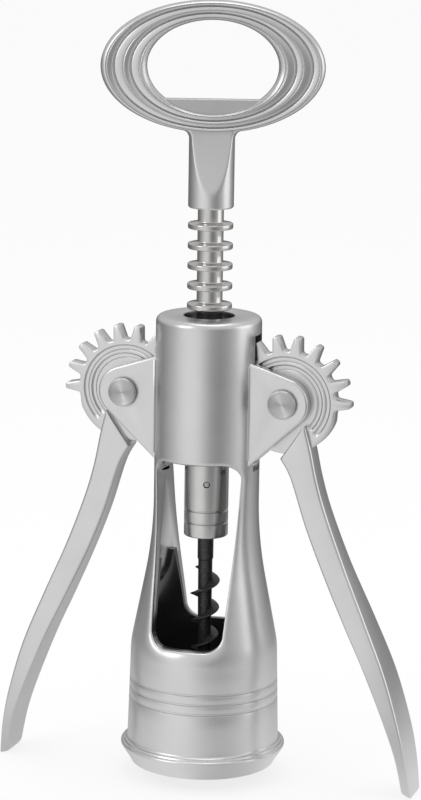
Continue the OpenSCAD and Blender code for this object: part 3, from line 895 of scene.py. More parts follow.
    def lower_wall(self) -> Skin:
        """Returns the bell below the windows: outside, foot and inside.

        Returns:
            The open skin.
        """
        def draft(z: float) -> float:
            """Returns the bell's outer radius at height z."""
            share = (z - self.flange_h) / (self.shoulder_z - self.flange_h)
            return mix(self.bell_r, self.shoulder_r, share)

        high, *low = self.bell_rows
        profile = [(self.outer_r(self.shoulder_z), self.shoulder_z), (draft(high), high)]
        for i in (2, 1, 0):
            z = self.groove_z + i * self.groove_pitch
            for share, depth in self.groove_shares:
                h = z + self.groove_w / 2 * share
                profile.append((draft(h) - self.groove_d * depth, h))
        edge_r = self.bell_r + self.flange_out - self.flange_round
        edge_z = self.flange_h - self.flange_round * self.flange_drop
        profile += [(draft(h), h) for h in low]
        fillet, foot = self.flange_fillet, self.foot_round
        profile += arc(self.bell_r + fillet, self.flange_h + self.fillet_lift, fillet, 180, 262, 5)
        profile += arc(edge_r, edge_z, self.flange_round, 84, -35, 7)
        profile += arc(self.bell_r - self.foot_in - self.foot_step, foot, foot, 0, -90, 4)
        profile += [(self.bell_r - self.bell_wall, h) for h in (0, self.bell_inner_row)]
        profile.append((self.inner_r(self.shoulder_z), self.shoulder_z))
        return lathe("housing_bell", profile, self.around, turn=-90)

    def upper_wall(self) -> Skin:
        """Returns the barrel above the windows: outside, closed top and inside.

        Returns:
            The open skin.
        """
        roof = self.body_h - self.top_plate
        inside = self.barrel_r - self.barrel_wall
        profile = [(self.barrel_r, h) for h in (self.patch_top_z, *self.barrel_rows)]
        edge, hole_edge = self.top_round, self.hole_round
        profile += arc(self.barrel_r - edge, self.body_h - edge, edge, 0, 90, 8)
        profile += arc(self.top_hole_r + hole_edge, self.body_h - hole_edge, hole_edge, 90, 180, 4)
        profile += [(self.top_hole_r, roof), (inside, roof), (inside, self.barrel_inner_row)]
        profile.append((self.inner_r(self.patch_top_z), self.patch_top_z))
        return lathe("housing_barrel", profile, self.around, turn=-90)

    def lug_outline(self) -> list[Vector]:
        """Returns the right lug in front view.

        Returns:
            The closed outline.
        """
        centre = Vector((PIVOT_X, PIVOT_Z))
        ends = []
        for start, turn in ((Vector((self.barrel_r, self.lug_foot_z)), 1),
                            (Vector((self.barrel_r, self.lug_top_z)), -1)):
            d = start - centre
            angle = math.degrees(math.atan2(d.y, d.x) + turn * math.acos(self.lug_r / d.length))
            ends.append(angle - 360 if angle > 180 else angle)
        bury = self.barrel_wall * self.bury_share
        root = self.barrel_r - bury
        foot = self.lug_foot_z + bury / math.tan(math.radians(ends[0]))
        top = self.lug_top_z + bury / math.tan(math.radians(ends[1]))
        round_end = arc(centre.x, centre.y, self.lug_r, ends[0], ends[1], 32)
        return [Vector((root, foot))] + [Vector(p) for p in round_end] + [Vector((root, top))]

    def lug(self, side: Side, front: bool) -> Piece:
        """Makes one lug with its pin bore and the fillet that runs it into the barrel.

        Args:
            side: the lever's side.
            front: the front lug, and not the back one.

        Returns:
            The piece.
        """
        outline = [Vector((p.x * side.value, p.y)) for p in self.lug_outline()]
        face = -1 if front else 1
        near, far = face * self.lug_in, face * (self.lug_in + self.lug_t)
        piece = plate("housing_lug", outline, near, far, 0)
        bore = rod_along_y((side.value * PIVOT_X, 0, PIVOT_Z), self.pin_bore_r)
        cut(piece, bore)
        bevel(piece, self.lug_edge, 3)
        return join(piece, self.fillet(side, face))

    def fillet(self, side: Side, face: int) -> Piece:
        """Makes the concave round between the barrel and a lug's outer face.

        Args:
            side: the lever's side.
            face: -1 at the front and 1 at the back.

        Returns:
            The piece.
        """
        r = self.lug_fillet
        plane = self.lug_in + self.lug_t
        cx = math.sqrt((self.barrel_r + r) ** 2 - (plane + r) ** 2)
        centre = Vector((cx, plane + r))
        to_axis = math.degrees(math.atan2(-centre.y, -centre.x))
        points = [Vector(p) for p in arc(centre.x, centre.y, r, to_axis, -90, 8)]
        bury = Vector((points[0].x - self.fillet_sink, plane - self.fillet_sink))
        section = points + [bury]
        low, high = self.lug_foot_z + self.fillet_foot, self.lug_top_z - self.fillet_top
        rings = []
        for z, shrink in ((low - self.fillet_end, POINT_SHARE), (low, 1), (high, 1),
                          (high + self.fillet_end, POINT_SHARE)):
            ring = []
            for p in section:
                q = bury.lerp(p, shrink)
                ring.append((side.value * q.x, face * q.y, z))
            rings.append(ring)
        return Skin("housing_fillet", rings).closed(50)

    def mark_painted_shade(self, piece: Piece) -> None:
        """Marks the faces inside the closed barrel and bell, which the material darkens as painted shade.

        Args:
            piece: the housing, before its lugs are joined on.
        """
        marks = piece.data.attributes.new("painted_shade", "FLOAT", "FACE")
        for face, mark in zip(piece.data.polygons, marks.data):
            x, y, z = face.center / MM
            radius = math.hypot(x, y)
            faces_in = (x * face.normal.x + y * face.normal.y) / max(radius, 0.01) < -0.5
            closed_in = z > self.head_z + 2 or z < self.sill_z
            mark.value = 1.0 if faces_in and closed_in and radius < self.outer_r(max(z, 0.0)) - 0.8 else 0.0

    def build(self, paint: Paint) -> None:
        """Makes the housing in one piece and dresses it.

        Args:
            paint: the finishes.
        """
        parts = [self.window_patch("housing_cast", 0).done(), self.window_patch("housing_back", 180).done(),
                 self.lower_wall().done(), self.upper_wall().done()]
        piece = join(*parts)
        bpy.ops.object.mode_set(mode="EDIT")
        weld(0.01, 0.005)
        for side in Side:
            x0, x1 = sorted((side.value * self.slot_from_x, side.value * self.slot_to_x))
            low = (x0, -self.slot_half_w, self.slot_foot_z)
            cut(piece, block(low, (x1, self.slot_half_w, self.slot_head_z)))
        shade(piece, 35)
        # Painted shade on the faces inside the barrel and bell
        self.mark_painted_shade(piece)
        lugs = [self.lug(side, front) for side in Side for front in (True, False)]
        piece = join(piece, *lugs)
        piece.name = "housing_casting"
        paint.dress(piece, Finish.SATIN_NICKEL)
        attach(piece, "housing")
        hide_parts("housing")
        log.info("housing: %d faces", len(piece.data.polygons))


@dataclass
class PivotPin:
    """A riveted pin with a spun head front and back. Lengths in millimetres."""

    side: Side
    pin_r: float = 2.2
    head_r: float = 3.4
    head_h: float = 1.2
    seat: float = 4.7
    edge_round: float = 0.42
    under_edge: float = 0.25
    step_w: float = 0.3
    step_d: float = 0.2
    dish: float = 0.2
    centre_r: float = 0.03
    around: int = 64
    face_steps: int = 8

    def build(self, paint: Paint) -> None:
        """Makes the pin and dresses it.

        Args:
            paint: the finishes.
        """
        top = self.seat + self.head_h
        half = [(self.pin_r, 0.0), (self.pin_r, self.seat), (self.head_r - self.under_edge, self.seat),
                (self.head_r, self.seat + self.under_edge)]
        half += arc(self.head_r - self.edge_round, top - self.edge_round, self.edge_round, 0, 90, 8)[:-1]
        flat = self.head_r - self.edge_round
        face_r, face_h = flat - self.step_w, top - self.step_d
        half += [(flat, top), (flat - self.step_w * 0.2, top - self.step_d * 0.1),
                 (face_r + self.step_w * 0.2, face_h + self.step_d * 0.1)]
        steps = self.face_steps
        half += [(face_r * (1 - i / steps), face_h - self.dish * i / steps) for i in range(steps)]
        half.append((self.centre_r, face_h - self.dish))
        profile = [(r, -h) for r, h in reversed(half)] + half[1:]
        place = Vector((self.side.value * PIVOT_X, 0, PIVOT_Z))
        piece = lathe(f"{self.side.label}_pivot_rivet", profile, self.around, place, along_y=True)
        piece = piece.closed(30)
        paint.dress(piece, Finish.SPUN_STEEL)
        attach(piece, "housing")
        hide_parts(f"{self.side.label}_pivot_pin")
        log.info("%s pivot pin", self.side.label)


@dataclass
class Lever:
    """One lever: a toothed sector with two ripples, and the curved arm. Lengths in millimetres."""

    side: Side
    # How far the play in the teeth lets both levers lean to one side, in degrees
    lean: float = 0.7
    bore_r: float = 2.25
    gear_t: float = 3.6
    tip_r: float = 15.6
    root_r: float = 12.0
    teeth: int = 10
    teeth_per_turn: int = 18
    root_half: float = 1.36
    tip_half: float = 0.72
    root_fillet: float = 0.7
    tip_round: float = 0.6
    rim_out: float = 0.4
    edge: float = 0.3
    ripples: tuple[float, float] = (10.2, 8.3)
    ripple_half_w: float = 0.75
    ripple_d: float = 0.46
    ripple_start: float = -46.0
    ripple_span: float = 290.0
    ripple_fade: float = 5.0
    arm_reach: float = 32.3
    arm_drop: float = 93.6
    arm_t: float = 11.8
    arm_proud: float = 1.3
    arm_round: float = 0.7
    sections: int = 90
    plain_steps: int = 48
    # Rings of the gear's face: plain ones, then fine ones over the ripples as radii and steps
    face_rows: tuple = (5.0, 7.0)
    fine_rows: tuple = (7.3, 11.2, 30)
    # The arm's round tip: shares of the last section, steps past it
    tip_rows: tuple = ((0.93, 0.35), (0.8, 0.62), (0.6, 0.8))
    # Arm outlines from the pivot: shares of the reach, shares of the drop
    inner_shares: tuple = ((0.143, 0.058), (-0.031, 0.144), (0.049, 0.194), (0.164, 0.315), (0.304, 0.433),
                           (0.469, 0.553), (0.632, 0.668), (0.788, 0.796), (0.88, 0.888), (0.928, 0.976))
    outer_shares: tuple = ((0.156, 0.055), (0.202, 0.118), (0.251, 0.197), (0.326, 0.283), (0.468, 0.411),
                           (0.637, 0.545), (0.798, 0.679), (0.911, 0.809), (0.967, 0.901), (1, 0.988))
    thick_shares: tuple = (0, 0, 0, 0.02, 0.17, 0.58, 0.87, 1, 0.94, 0.6)

    def put(self, x: float, y: float, z: float) -> Point:
        """Returns the point of the right lever, mirrored for the left one, in its place.

        Args:
            x: the distance out from the pivot.
            y: the depth.
            z: the height over the pivot.

        Returns:
            The point in its place.
        """
        lean = math.radians(self.lean)
        across = self.side.value * x
        return (self.side.value * PIVOT_X + across * math.cos(lean) - z * math.sin(lean), y,
                PIVOT_Z + across * math.sin(lean) + z * math.cos(lean))

    def outline(self) -> list[tuple[float, float]]:
        """Returns the toothed outline about the pivot as (x, z), counter-clockwise.

        Returns:
            The closed outline.
        """
        step = 360 / self.teeth_per_turn
        half_step = math.radians(step / 2)
        points: list[tuple[float, float]] = []
        first = 180 - (self.teeth - 1) * step
        for k in range(self.teeth):
            a = math.radians(first + k * step)
            foot = Vector((self.root_r * math.cos(half_step), -self.root_r * math.sin(half_step)))
            corners = [foot, Vector((self.root_r, -self.root_half)), Vector((self.tip_r, -self.tip_half)),
                       Vector((self.tip_r, self.tip_half)), Vector((self.root_r, self.root_half)),
                       Vector((foot.x, -foot.y))]
            radii = [self.root_fillet, self.tip_round, self.tip_round, self.root_fillet]
            spin = Matrix.Rotation(a, 2)
            for i, r in enumerate(radii):
                for q in rounded_corner(corners[i], corners[i + 1], corners[i + 2], r, 5):
                    points.append(tuple(spin @ q))
        start, end = 180 + step / 2, first + 360 - step / 2
        for t in span(0, 1, self.plain_steps):
            a = math.radians(mix(start, end, t))
            r = self.root_r + self.rim_out * smooth(8 * t) * smooth(12 * (1 - t))
            points.append((r * math.cos(a), r * math.sin(a)))
        return points

    def drawn_in(self, points: list[tuple[float, float]], by: float) -> list[tuple[float, float]]:
        """Returns the outline moved into the metal by a distance.

        Args:
            points: the outline.
            by: the distance.

        Returns:
            The moved outline.
        """
        out = []
        for i, p in enumerate(points):
            a, b = points[i - 1], points[(i + 1) % len(points)]
            along = Vector((b[0] - a[0], b[1] - a[1])).normalized()
            out.append((p[0] - along.y * by, p[1] + along.x * by))
        return out

    def ripple(self, x: float, z: float) -> float:
        """Returns how deep the gear face is pressed in at a place.

        Args:
            x: the distance out from the pivot.
            z: the height over the pivot.

        Returns:
            The depth.
        """
        r = math.hypot(x, z)
        a = (math.degrees(math.atan2(z, x)) - self.ripple_start) % 360
        fade = smooth(a / self.ripple_fade) * smooth((self.ripple_span - a) / self.ripple_fade)
        depth = 0.0
        for middle in self.ripples:
            t = abs(r - middle) / self.ripple_half_w
            if t < 1:
                depth += self.ripple_d * smooth((1 - t) * 1.6)
        return depth * fade

    def gear(self) -> Piece:
        """Makes the toothed sector with its bore and ripples.

        Returns:
            The piece.
        """
        edge = self.outline()
        angles = [math.atan2(z, x) for x, z in edge]
        half = self.gear_t / 2
        faces = []
        for r in (self.bore_r, *self.face_rows, *span(*self.fine_rows)):
            faces.append([(r * math.cos(a), r * math.sin(a)) for a in angles])
        turn = [(self.edge, 0.0), (self.edge * 0.3, self.edge * 0.3), (0.0, self.edge)]
        rings = []
        for side in (1, -1):
            half_rings = [[(x, side * (half - self.ripple(x, z)), z) for x, z in ring] for ring in faces]
            for inset, drop in turn:
                half_rings.append([(x, side * (half - drop), z) for x, z in self.drawn_in(edge, inset)])
            rings += half_rings if side == 1 else half_rings[::-1]
        rings.append(rings[0])
        placed = [[self.put(*p) for p in ring] for ring in rings]
        return Skin("lever_gear", placed).done(32)

    def section(self, p: Vector, q: Vector, half: float) -> Ring:
        """Returns one rounded section of the arm between its inner edge p and outer edge q.

        Args:
            p: the inner edge.
            q: the outer edge.
            half: half the thickness.

        Returns:
            The section's points.
        """
        width = (q - p).length
        u = (q - p).normalized()
        r = min(self.arm_round, width * 0.3)
        ring = []
        for cx, cy, a0 in ((r, -half + r, 180), (width - r, -half + r, 270),
                           (width - r, half - r, 0), (r, half - r, 90)):
            for s, y in arc(cx, cy, r, a0, a0 + 90, 6):
                ring.append(self.put(p.x + u.x * s, y, p.y + u.y * s))
        return ring

    def arm(self) -> Piece:
        """Makes the arm as a skin through sections along its two edges.

        Returns:
            The piece.
        """
        size = Vector((self.arm_reach, -self.arm_drop))
        inner = [Vector((x * size.x, z * size.y)) for x, z in self.inner_shares]
        outer = [Vector((x * size.x, z * size.y)) for x, z in self.outer_shares]
        thick = [Vector((t, 0)) for t in self.thick_shares]
        root_half = self.gear_t / 2 + self.arm_proud
        last = len(inner) - 1
        rings = []
        for k in range(self.sections + 1):
            s = last * k / self.sections
            grow = 0.0 if s < 1 else curve_at(thick, s).x
            p = inner[0].lerp(inner[1], s) if s <= 1 else curve_at(inner[1:], s - 1)
            q = curve_at(outer, s)
            half = mix(root_half, self.arm_t / 2, grow)
            rings.append(self.section(p, q, half))
        tip_p, tip_q = inner[-1], outer[-1]
        run = (curve_at(inner, last) - curve_at(inner, last - 0.1)).normalized()
        for share, step in self.tip_rows:
            middle = (tip_p + tip_q) / 2
            p = middle + (tip_p - middle) * share + run * step
            q = middle + (tip_q - middle) * share + run * step
            rings.append(self.section(p, q, half * share))
        return Skin("lever_arm", rings).closed(35)

    def build(self, paint: Paint) -> None:
        """Makes the lever in one piece and dresses it.

        Args:
            paint: the finishes.
        """
        name = f"{self.side.label}_lever"
        piece = join(self.gear(), self.arm())
        piece.name = f"{name}_casting"
        paint.dress(piece, Finish.SATIN_NICKEL)
        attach(piece, name)
        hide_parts(name)
        log.info("%s: %d faces", name, len(piece.data.polygons))


@dataclass
class RackShaft:
    """The turned sleeve whose rings are the rack. Lengths in millimetres."""

    foot_z: float = 79.1
    top_z: float = 134.2
    core_r: float = 3.05
    bore_r: float = 1.86
    foot_edge: float = 0.2
    ring_r: float = 5.3
    ring_t: float = 1.35
    ring_flare: float = 0.3
    ring_pitch: float = 4.743
    rings_below: int = 2
    rings_above: int = 9
    rim_round: float = 0.32
    root_fillet: float = 0.3
    around: int = 96

    def build(self, paint: Paint) -> None:
        """Makes the sleeve and dresses it.

        Args:
            paint: the finishes.
        """
        profile = [(self.bore_r, self.foot_z), (self.core_r - self.foot_edge, self.foot_z),
                   (self.core_r, self.foot_z + self.foot_edge)]
        for k in range(-self.rings_below, self.rings_above):
            z = PIVOT_Z + (k + 0.5) * self.ring_pitch
            root = (self.ring_t + self.ring_flare) / 2
            rim = self.ring_t / 2
            f, e = self.root_fillet, self.rim_round
            under = arc(self.core_r + f, z - root - f, f, 180, 90, 3)
            over = arc(self.core_r + f, z + root + f, f, 270, 180, 3)
            low = arc(self.ring_r - e, z - rim + e, e, -90, 0, 4)
            high = arc(self.ring_r - e, z + rim - e, e, 0, 90, 4)
            profile += under + low + high + over
        profile += [(self.core_r, self.top_z), (self.bore_r, self.top_z), (self.bore_r, self.foot_z)]
        piece = lathe("ringed_shaft", profile, self.around).done(30)
        paint.dress(piece, Finish.TURNED_STEEL)
        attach(piece, "shaft")
        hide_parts("rack_shaft")
        log.info("ringed shaft: %d faces", len(piece.data.polygons))


@dataclass
class Handle:
    """The ring handle with its cap lip and neck. Lengths in millimetres."""

    mid_z: float = 167.1
    half_w: float = 26.0
    half_h: float = 15.3
    hole_half_w: float = 15.25
    hole_half_h: float = 10.8
    thick: float = 5.2
    valley_d: float = 0.28
    crease_d: float = 0.3
    crease_half_share: float = 0.032
    # The first and the last crest, and how much deeper the round valleys between them are
    first_crest: float = 0.15
    last_crest: float = 0.88
    round_share: float = 1.7
    lip_h: float = 3.3
    lip_t: float = 2.4
    lip_edge: float = 0.25
    # How far the lip's foot is sunk into the ring: a share of the way from the hole to the rim
    lip_share: float = 0.12
    neck_r: float = 5.35
    neck_foot_z: float = 134.3
    neck_round_h: float = 3.65
    neck_fillet: float = 2.0
    neck_slope: float = 0.26
    neck_hollow: float = -0.0039
    neck_top_half: float = 2.5
    neck_edge: float = 0.35
    # How softly the flat faces run into the round
    neck_soft: float = 0.11
    # How far the neck is sunk into the ring
    neck_sink: float = 2.2
    neck_around: int = 144
    neck_edge_slope: float = 0.8
    # Rings of the neck: the first ones over its foot, where the even ones start, and their number
    neck_rows: tuple = (0.0, 0.12, 0.35)
    neck_start: float = 0.8
    neck_steps: int = 40
    fillet_steps: int = 10
    fillet_rise: float = 0.6
    fillet_power: int = 8
    # Inside the ring the neck's faces draw in: from how far up, and how steeply
    sink_from: float = 0.5
    sink_slope: float = 0.8
    # Only points this close to a flat face, or past it, are pressed onto it
    face_reach: float = 1.5
    lip_steps: int = 40
    around: int = 160
    # Rings of the face as shares of the way: at the hole, in even steps, and at the rim
    hole_rows: tuple = (0.0, 0.01, 0.025)
    even_rows: tuple = (0.04, 0.97, 124)
    rim_rows: tuple = (0.98, 0.992, 1.0)
    # The creases: shares of the way from the hole to the rim, shares of the full crease
    crease_shares: tuple = ((0.15, 0.9), (0.36, 1.0), (0.51, 0.5), (0.72, 1.0), (0.88, 0.5))
    # The ring's section: shares of the way from the hole to the rim, shares of the valley depth
    section_shares: tuple = ((0.0, 5.5), (0.02, 3.6), (0.05, 2.2), (0.1, 0.8), (0.15, 0.0), (0.36, 1.0),
                             (0.51, 0.0), (0.72, 1.0), (0.88, 0.0), (0.93, 0.7), (0.97, 2.2), (0.99, 3.6),
                             (1.0, 5.0))

    def ellipse(self, share: float, y: float) -> Ring:
        """Returns an oval loop at a share of the way from the hole to the rim.

        Args:
            share: the share of the way.
            y: the depth.

        Returns:
            The loop.
        """
        a = mix(self.hole_half_w, self.half_w, share)
        b = mix(self.hole_half_h, self.half_h, share)
        angles = [2 * math.pi * i / self.around for i in range(self.around)]
        ring = [(a * math.cos(angle), y, self.mid_z + b * math.sin(angle)) for angle in angles]
        return turned(ring, HANDLE_TURN)

    def face_y(self, share: float) -> float:
        """Returns the half thickness of the ring at a share, with crests and valleys a little rounded.

        Args:
            share: the share of the way from the hole to the rim.

        Returns:
            The half thickness.
        """
        rows = list(self.section_shares)
        reach = 0.01
        reads = [read_table(rows, min(1.0, max(0.0, share + reach * k / 2))) for k in (-2, -1, 0, 1, 2)]
        drop = (reads[0] + 2 * reads[1] + 2 * reads[2] + 2 * reads[3] + reads[4]) / 8
        if self.first_crest < share < self.last_crest:
            drop = self.round_share * drop * drop
        crease = sum(size * max(0.0, 1 - ((share - middle) / (self.crease_half_share * size)) ** 2) ** 2
                     for middle, size in self.crease_shares)
        return self.thick / 2 - self.valley_d * drop - self.crease_d * crease

    def ring(self) -> Piece:
        """Makes the oval ring.

        Returns:
            The piece.
        """
        shares = [*self.hole_rows, *span(*self.even_rows), *self.rim_rows]
        front = [(s, -self.face_y(s)) for s in shares]
        section = front + [(s, -y) for s, y in reversed(front)]
        rings = [self.ellipse(s, y) for s, y in section]
        rings.append(rings[0])
        return Skin("handle_ring", rings).done(60)

    def lip(self) -> Piece:
        """Makes the lip that lifts crown caps.

        Returns:
            The piece.
        """
        a = mix(self.hole_half_w, self.half_w, self.lip_share)
        b = mix(self.hole_half_h, self.half_h, self.lip_share)
        sweep = math.acos((self.hole_half_h - self.lip_h) / b)
        steps = self.lip_steps
        angles = [-math.pi / 2 - sweep + 2 * sweep * i / steps for i in range(steps + 1)]
        outline = [Vector((a * math.cos(t), self.mid_z + b * math.sin(t))) for t in angles]
        half = self.lip_t / 2
        piece = plate("handle_lip", outline, -half, half, self.lip_edge)
        piece.data.transform(Matrix.Rotation(math.radians(HANDLE_TURN), 4, "Z"))
        return piece

    def neck(self) -> Piece:
        """Makes the neck: round at its foot, then cut flat front and back up to the ring.

        Returns:
            The piece.
        """
        ring_foot = self.mid_z - self.half_h
        top_z = ring_foot + self.neck_sink
        flat_z = self.neck_foot_z + self.neck_round_h
        heights = [self.neck_foot_z + row for row in self.neck_rows]
        heights += span(self.neck_foot_z + self.neck_start, ring_foot - self.neck_fillet, self.neck_steps)
        heights += span(ring_foot - self.neck_fillet, top_z, self.fillet_steps)[1:]
        rings = []
        for z in heights:
            r = self.neck_r - max(0.0, self.neck_edge - (z - self.neck_foot_z)) * self.neck_edge_slope
            above = z - flat_z
            half = self.neck_r - self.neck_slope * above - self.neck_hollow * max(0.0, above) ** 2
            rise = z - (ring_foot + self.fillet_rise - self.neck_fillet)
            climb = max(0.0, min(rise, self.neck_fillet))
            spread = self.neck_fillet - math.sqrt(max(0.0, self.neck_fillet ** 2 - climb ** 2))
            sunk = max(0.0, z - ring_foot - self.sink_from)
            half = max(half, self.neck_top_half) - self.sink_slope * sunk
            ring = []
            for i in range(self.neck_around):
                a = 2 * math.pi * i / self.neck_around
                y = r * math.sin(a)
                if abs(y) > half - self.face_reach:
                    over = math.log1p(math.exp((half - abs(y)) / self.neck_soft))
                    y = math.copysign(half - self.neck_soft * over, y)
                out = spread * math.cos(a) ** self.fillet_power
                x = r * math.cos(a) + math.copysign(out, math.cos(a))
                ring.append((x, y, z))
            rings.append(turned(ring, HANDLE_TURN))
        return Skin("handle_neck", rings).closed(30)

    def build(self, paint: Paint) -> None:
        """Makes the handle in one piece and dresses it.

        Args:
            paint: the finishes.
        """
        piece = join(self.ring(), self.lip(), self.neck())
        piece.name = "handle_casting"
        paint.dress(piece, Finish.SATIN_NICKEL)
        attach(piece, "screw")
        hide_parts("handle")
        log.info("handle: %d faces", len(piece.data.polygons))


@dataclass
class Screw:
    """The worm, its turned holder and the pin that locks them. Lengths in millimetres."""

    holder_r: float = 5.25
    holder_foot_z: float = 55.7
    holder_top_z: float = 79.0
    holder_round: float = 0.35
    # A groove's section: shares of its half width, shares of its depth
    groove_shares: tuple = ((-1, 0), (-0.7, 0.3), (-0.35, 0.95), (0.35, 0.95), (0.7, 0.3), (1, 0))
    spindle_hole_r: float = 1.82
    # The shank's play in its seat, and the seat's depth
    seat_play: float = 0.02
    seat_depth: float = 1.5
    groove_rise: float = 3.5
    groove_pitch: float = 3.0
    groove_w: float = 0.5
    groove_d: float = 0.25
    pin_r: float = 0.62
    pin_hole_r: float = 0.8
    pin_z: float = 68.95
    # How far the locking pin's ends stay under the holder's wall, and the dome on them:
    # shares of the pin's radius, heights over its rim
    pin_under: float = 0.08
    pin_dome: tuple = ((1.0, -0.3), (0.92, -0.1), (0.6, 0.0))
    pin_dome_h: float = 0.05
    pin_centre_r: float = 0.02
    around: int = 96
    pin_around: int = 32
    core_around: int = 48
    shank_r: float = 1.9
    shank_top_z: float = 71.5
    core_r: float = 1.7
    worm_r: float = 3.55
    pitch: float = 6.65
    flight_top_z: float = 48.0
    side_z: float = 44.4
    tip_z: float = 11.4
    point_h: float = 6.0
    # How much thinner the core is at its tip, and how the point runs out
    core_taper: float = 0.45
    point_power: float = 0.7
    core_steps: int = 50
    collar_z: float = 49.8
    flight_half: float = 0.8
    # How full the flight starts, the turns over which it grows and fades, and how full it ends
    grow_from: float = 0.25
    grow_turns: float = 0.4
    fade_turns: float = 0.7
    fade_to: float = 0.05
    # How far over the point the flight ends
    flight_end: float = 1.2
    flight_steps: int = 48

    def holder(self, paint: Paint) -> None:
        """Makes the turned holder with its two grooves and the pin's hole.

        Args:
            paint: the finishes.
        """
        edge = self.holder_round
        seat_r, seat_z = self.shank_r + self.seat_play, self.holder_foot_z + self.seat_depth
        profile = [(seat_r, seat_z), (seat_r, self.holder_foot_z)]
        profile += arc(self.holder_r - edge, self.holder_foot_z + edge, edge, -90, 0, 4)
        for i in range(2):
            z = self.holder_foot_z + self.groove_rise + i * self.groove_pitch
            for share, depth in self.groove_shares:
                profile.append((self.holder_r - self.groove_d * depth, z + self.groove_w / 2 * share))
        profile += arc(self.holder_r - edge, self.holder_top_z - edge, edge, 0, 90, 4)
        profile += [(self.spindle_hole_r, self.holder_top_z), (self.spindle_hole_r, seat_z)]
        profile.append(profile[0])
        piece = lathe("screw_holder", profile, self.around).done(30)
        bore = rod_along_y((0, 0, self.pin_z), self.pin_hole_r, HANDLE_TURN)
        cut(piece, bore)
        shade(piece, 30)
        paint.dress(piece, Finish.DULL_STEEL)
        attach(piece, "screw")
        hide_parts("worm_holder")

    def cross_pin(self, paint: Paint) -> None:
        """Makes the locking pin with domed ends.

        Args:
            paint: the finishes.
        """
        reach = self.holder_r - self.pin_under
        dome = [(self.pin_r * share, reach + h) for share, h in self.pin_dome]
        dome.append((self.pin_centre_r, reach + self.pin_dome_h))
        profile = [(r, -h) for r, h in reversed(dome)] + dome
        middle = Vector((0, 0, self.pin_z))
        skin = lathe("screw_locking_pin", profile, self.pin_around, middle, along_y=True)
        piece = skin.closed(40)
        piece.data.transform(Matrix.Rotation(math.radians(HANDLE_TURN), 4, "Z"))
        paint.dress(piece, Finish.SPUN_STEEL)
        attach(piece, "screw")
        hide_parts("worm_cross_pin")

    def core_at(self, z: float) -> float:
        """Returns the worm's core radius at height z.

        Args:
            z: the height.

        Returns:
            The radius.
        """
        t = (self.flight_top_z - z) / (self.flight_top_z - self.tip_z)
        body = self.core_r * (1 - self.core_taper * t * t)
        if z > self.tip_z + self.point_h:
            return body
        return body * max(POINT_SHARE, (z - self.tip_z) / self.point_h) ** self.point_power

    def flight(self) -> Piece:
        """Makes the wedge-shaped flight that winds down the core.

        Returns:
            The piece.
        """
        turns = (self.flight_top_z - self.tip_z - self.flight_end) / self.pitch
        steps = int(turns * self.flight_steps)
        phase = 360 * (self.flight_top_z - self.side_z) / self.pitch + HANDLE_TURN
        rings = []
        for i in range(steps + 1):
            s = turns * i / steps
            z = self.flight_top_z - s * self.pitch
            a = math.radians(phase - 360 * s)
            grow = min(1.0, self.grow_from + s / self.grow_turns)
            grow *= min(1.0, self.fade_to + (turns - s) / self.fade_turns)
            core = self.core_at(z)
            reach = core + (self.worm_r - self.core_r) * grow
            half = self.flight_half * grow
            upper = [(core * 0.75, half), (mix(core, reach, 0.35), half * 0.62), (reach - 0.12, 0.2 * half)]
            wedge = upper + [(reach, 0.0)] + [(r, -h) for r, h in reversed(upper)]
            rings.append([(r * math.cos(a), r * math.sin(a), z + h) for r, h in wedge])
        return Skin("worm_flight", rings).closed(30)

    def worm(self, paint: Paint) -> None:
        """Makes the worm: shank, collar, core, point and flight.

        Args:
            paint: the finishes.
        """
        profile = [(self.shank_r, self.shank_top_z), (self.shank_r, self.collar_z + 0.3),
                   (self.shank_r - 0.05, self.collar_z), (self.core_r + 0.03, self.collar_z - 0.15)]
        low, high = self.tip_z + 0.05, self.collar_z - 0.5
        profile += [(self.core_at(z), z) for z in span(high, low, self.core_steps)]
        core = lathe("worm_core", profile, self.core_around).closed(35)
        piece = join(core, self.flight())
        piece.name = "worm_auger"
        paint.dress(piece, Finish.BLACK_COAT)
        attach(piece, "screw")
        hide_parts("worm")

    def build(self, paint: Paint) -> None:
        """Makes the three pieces.

        Args:
            paint: the finishes.
        """
        self.holder(paint)
        self.cross_pin(paint)
        self.worm(paint)
        log.info("worm, holder and locking pin")


# Studio

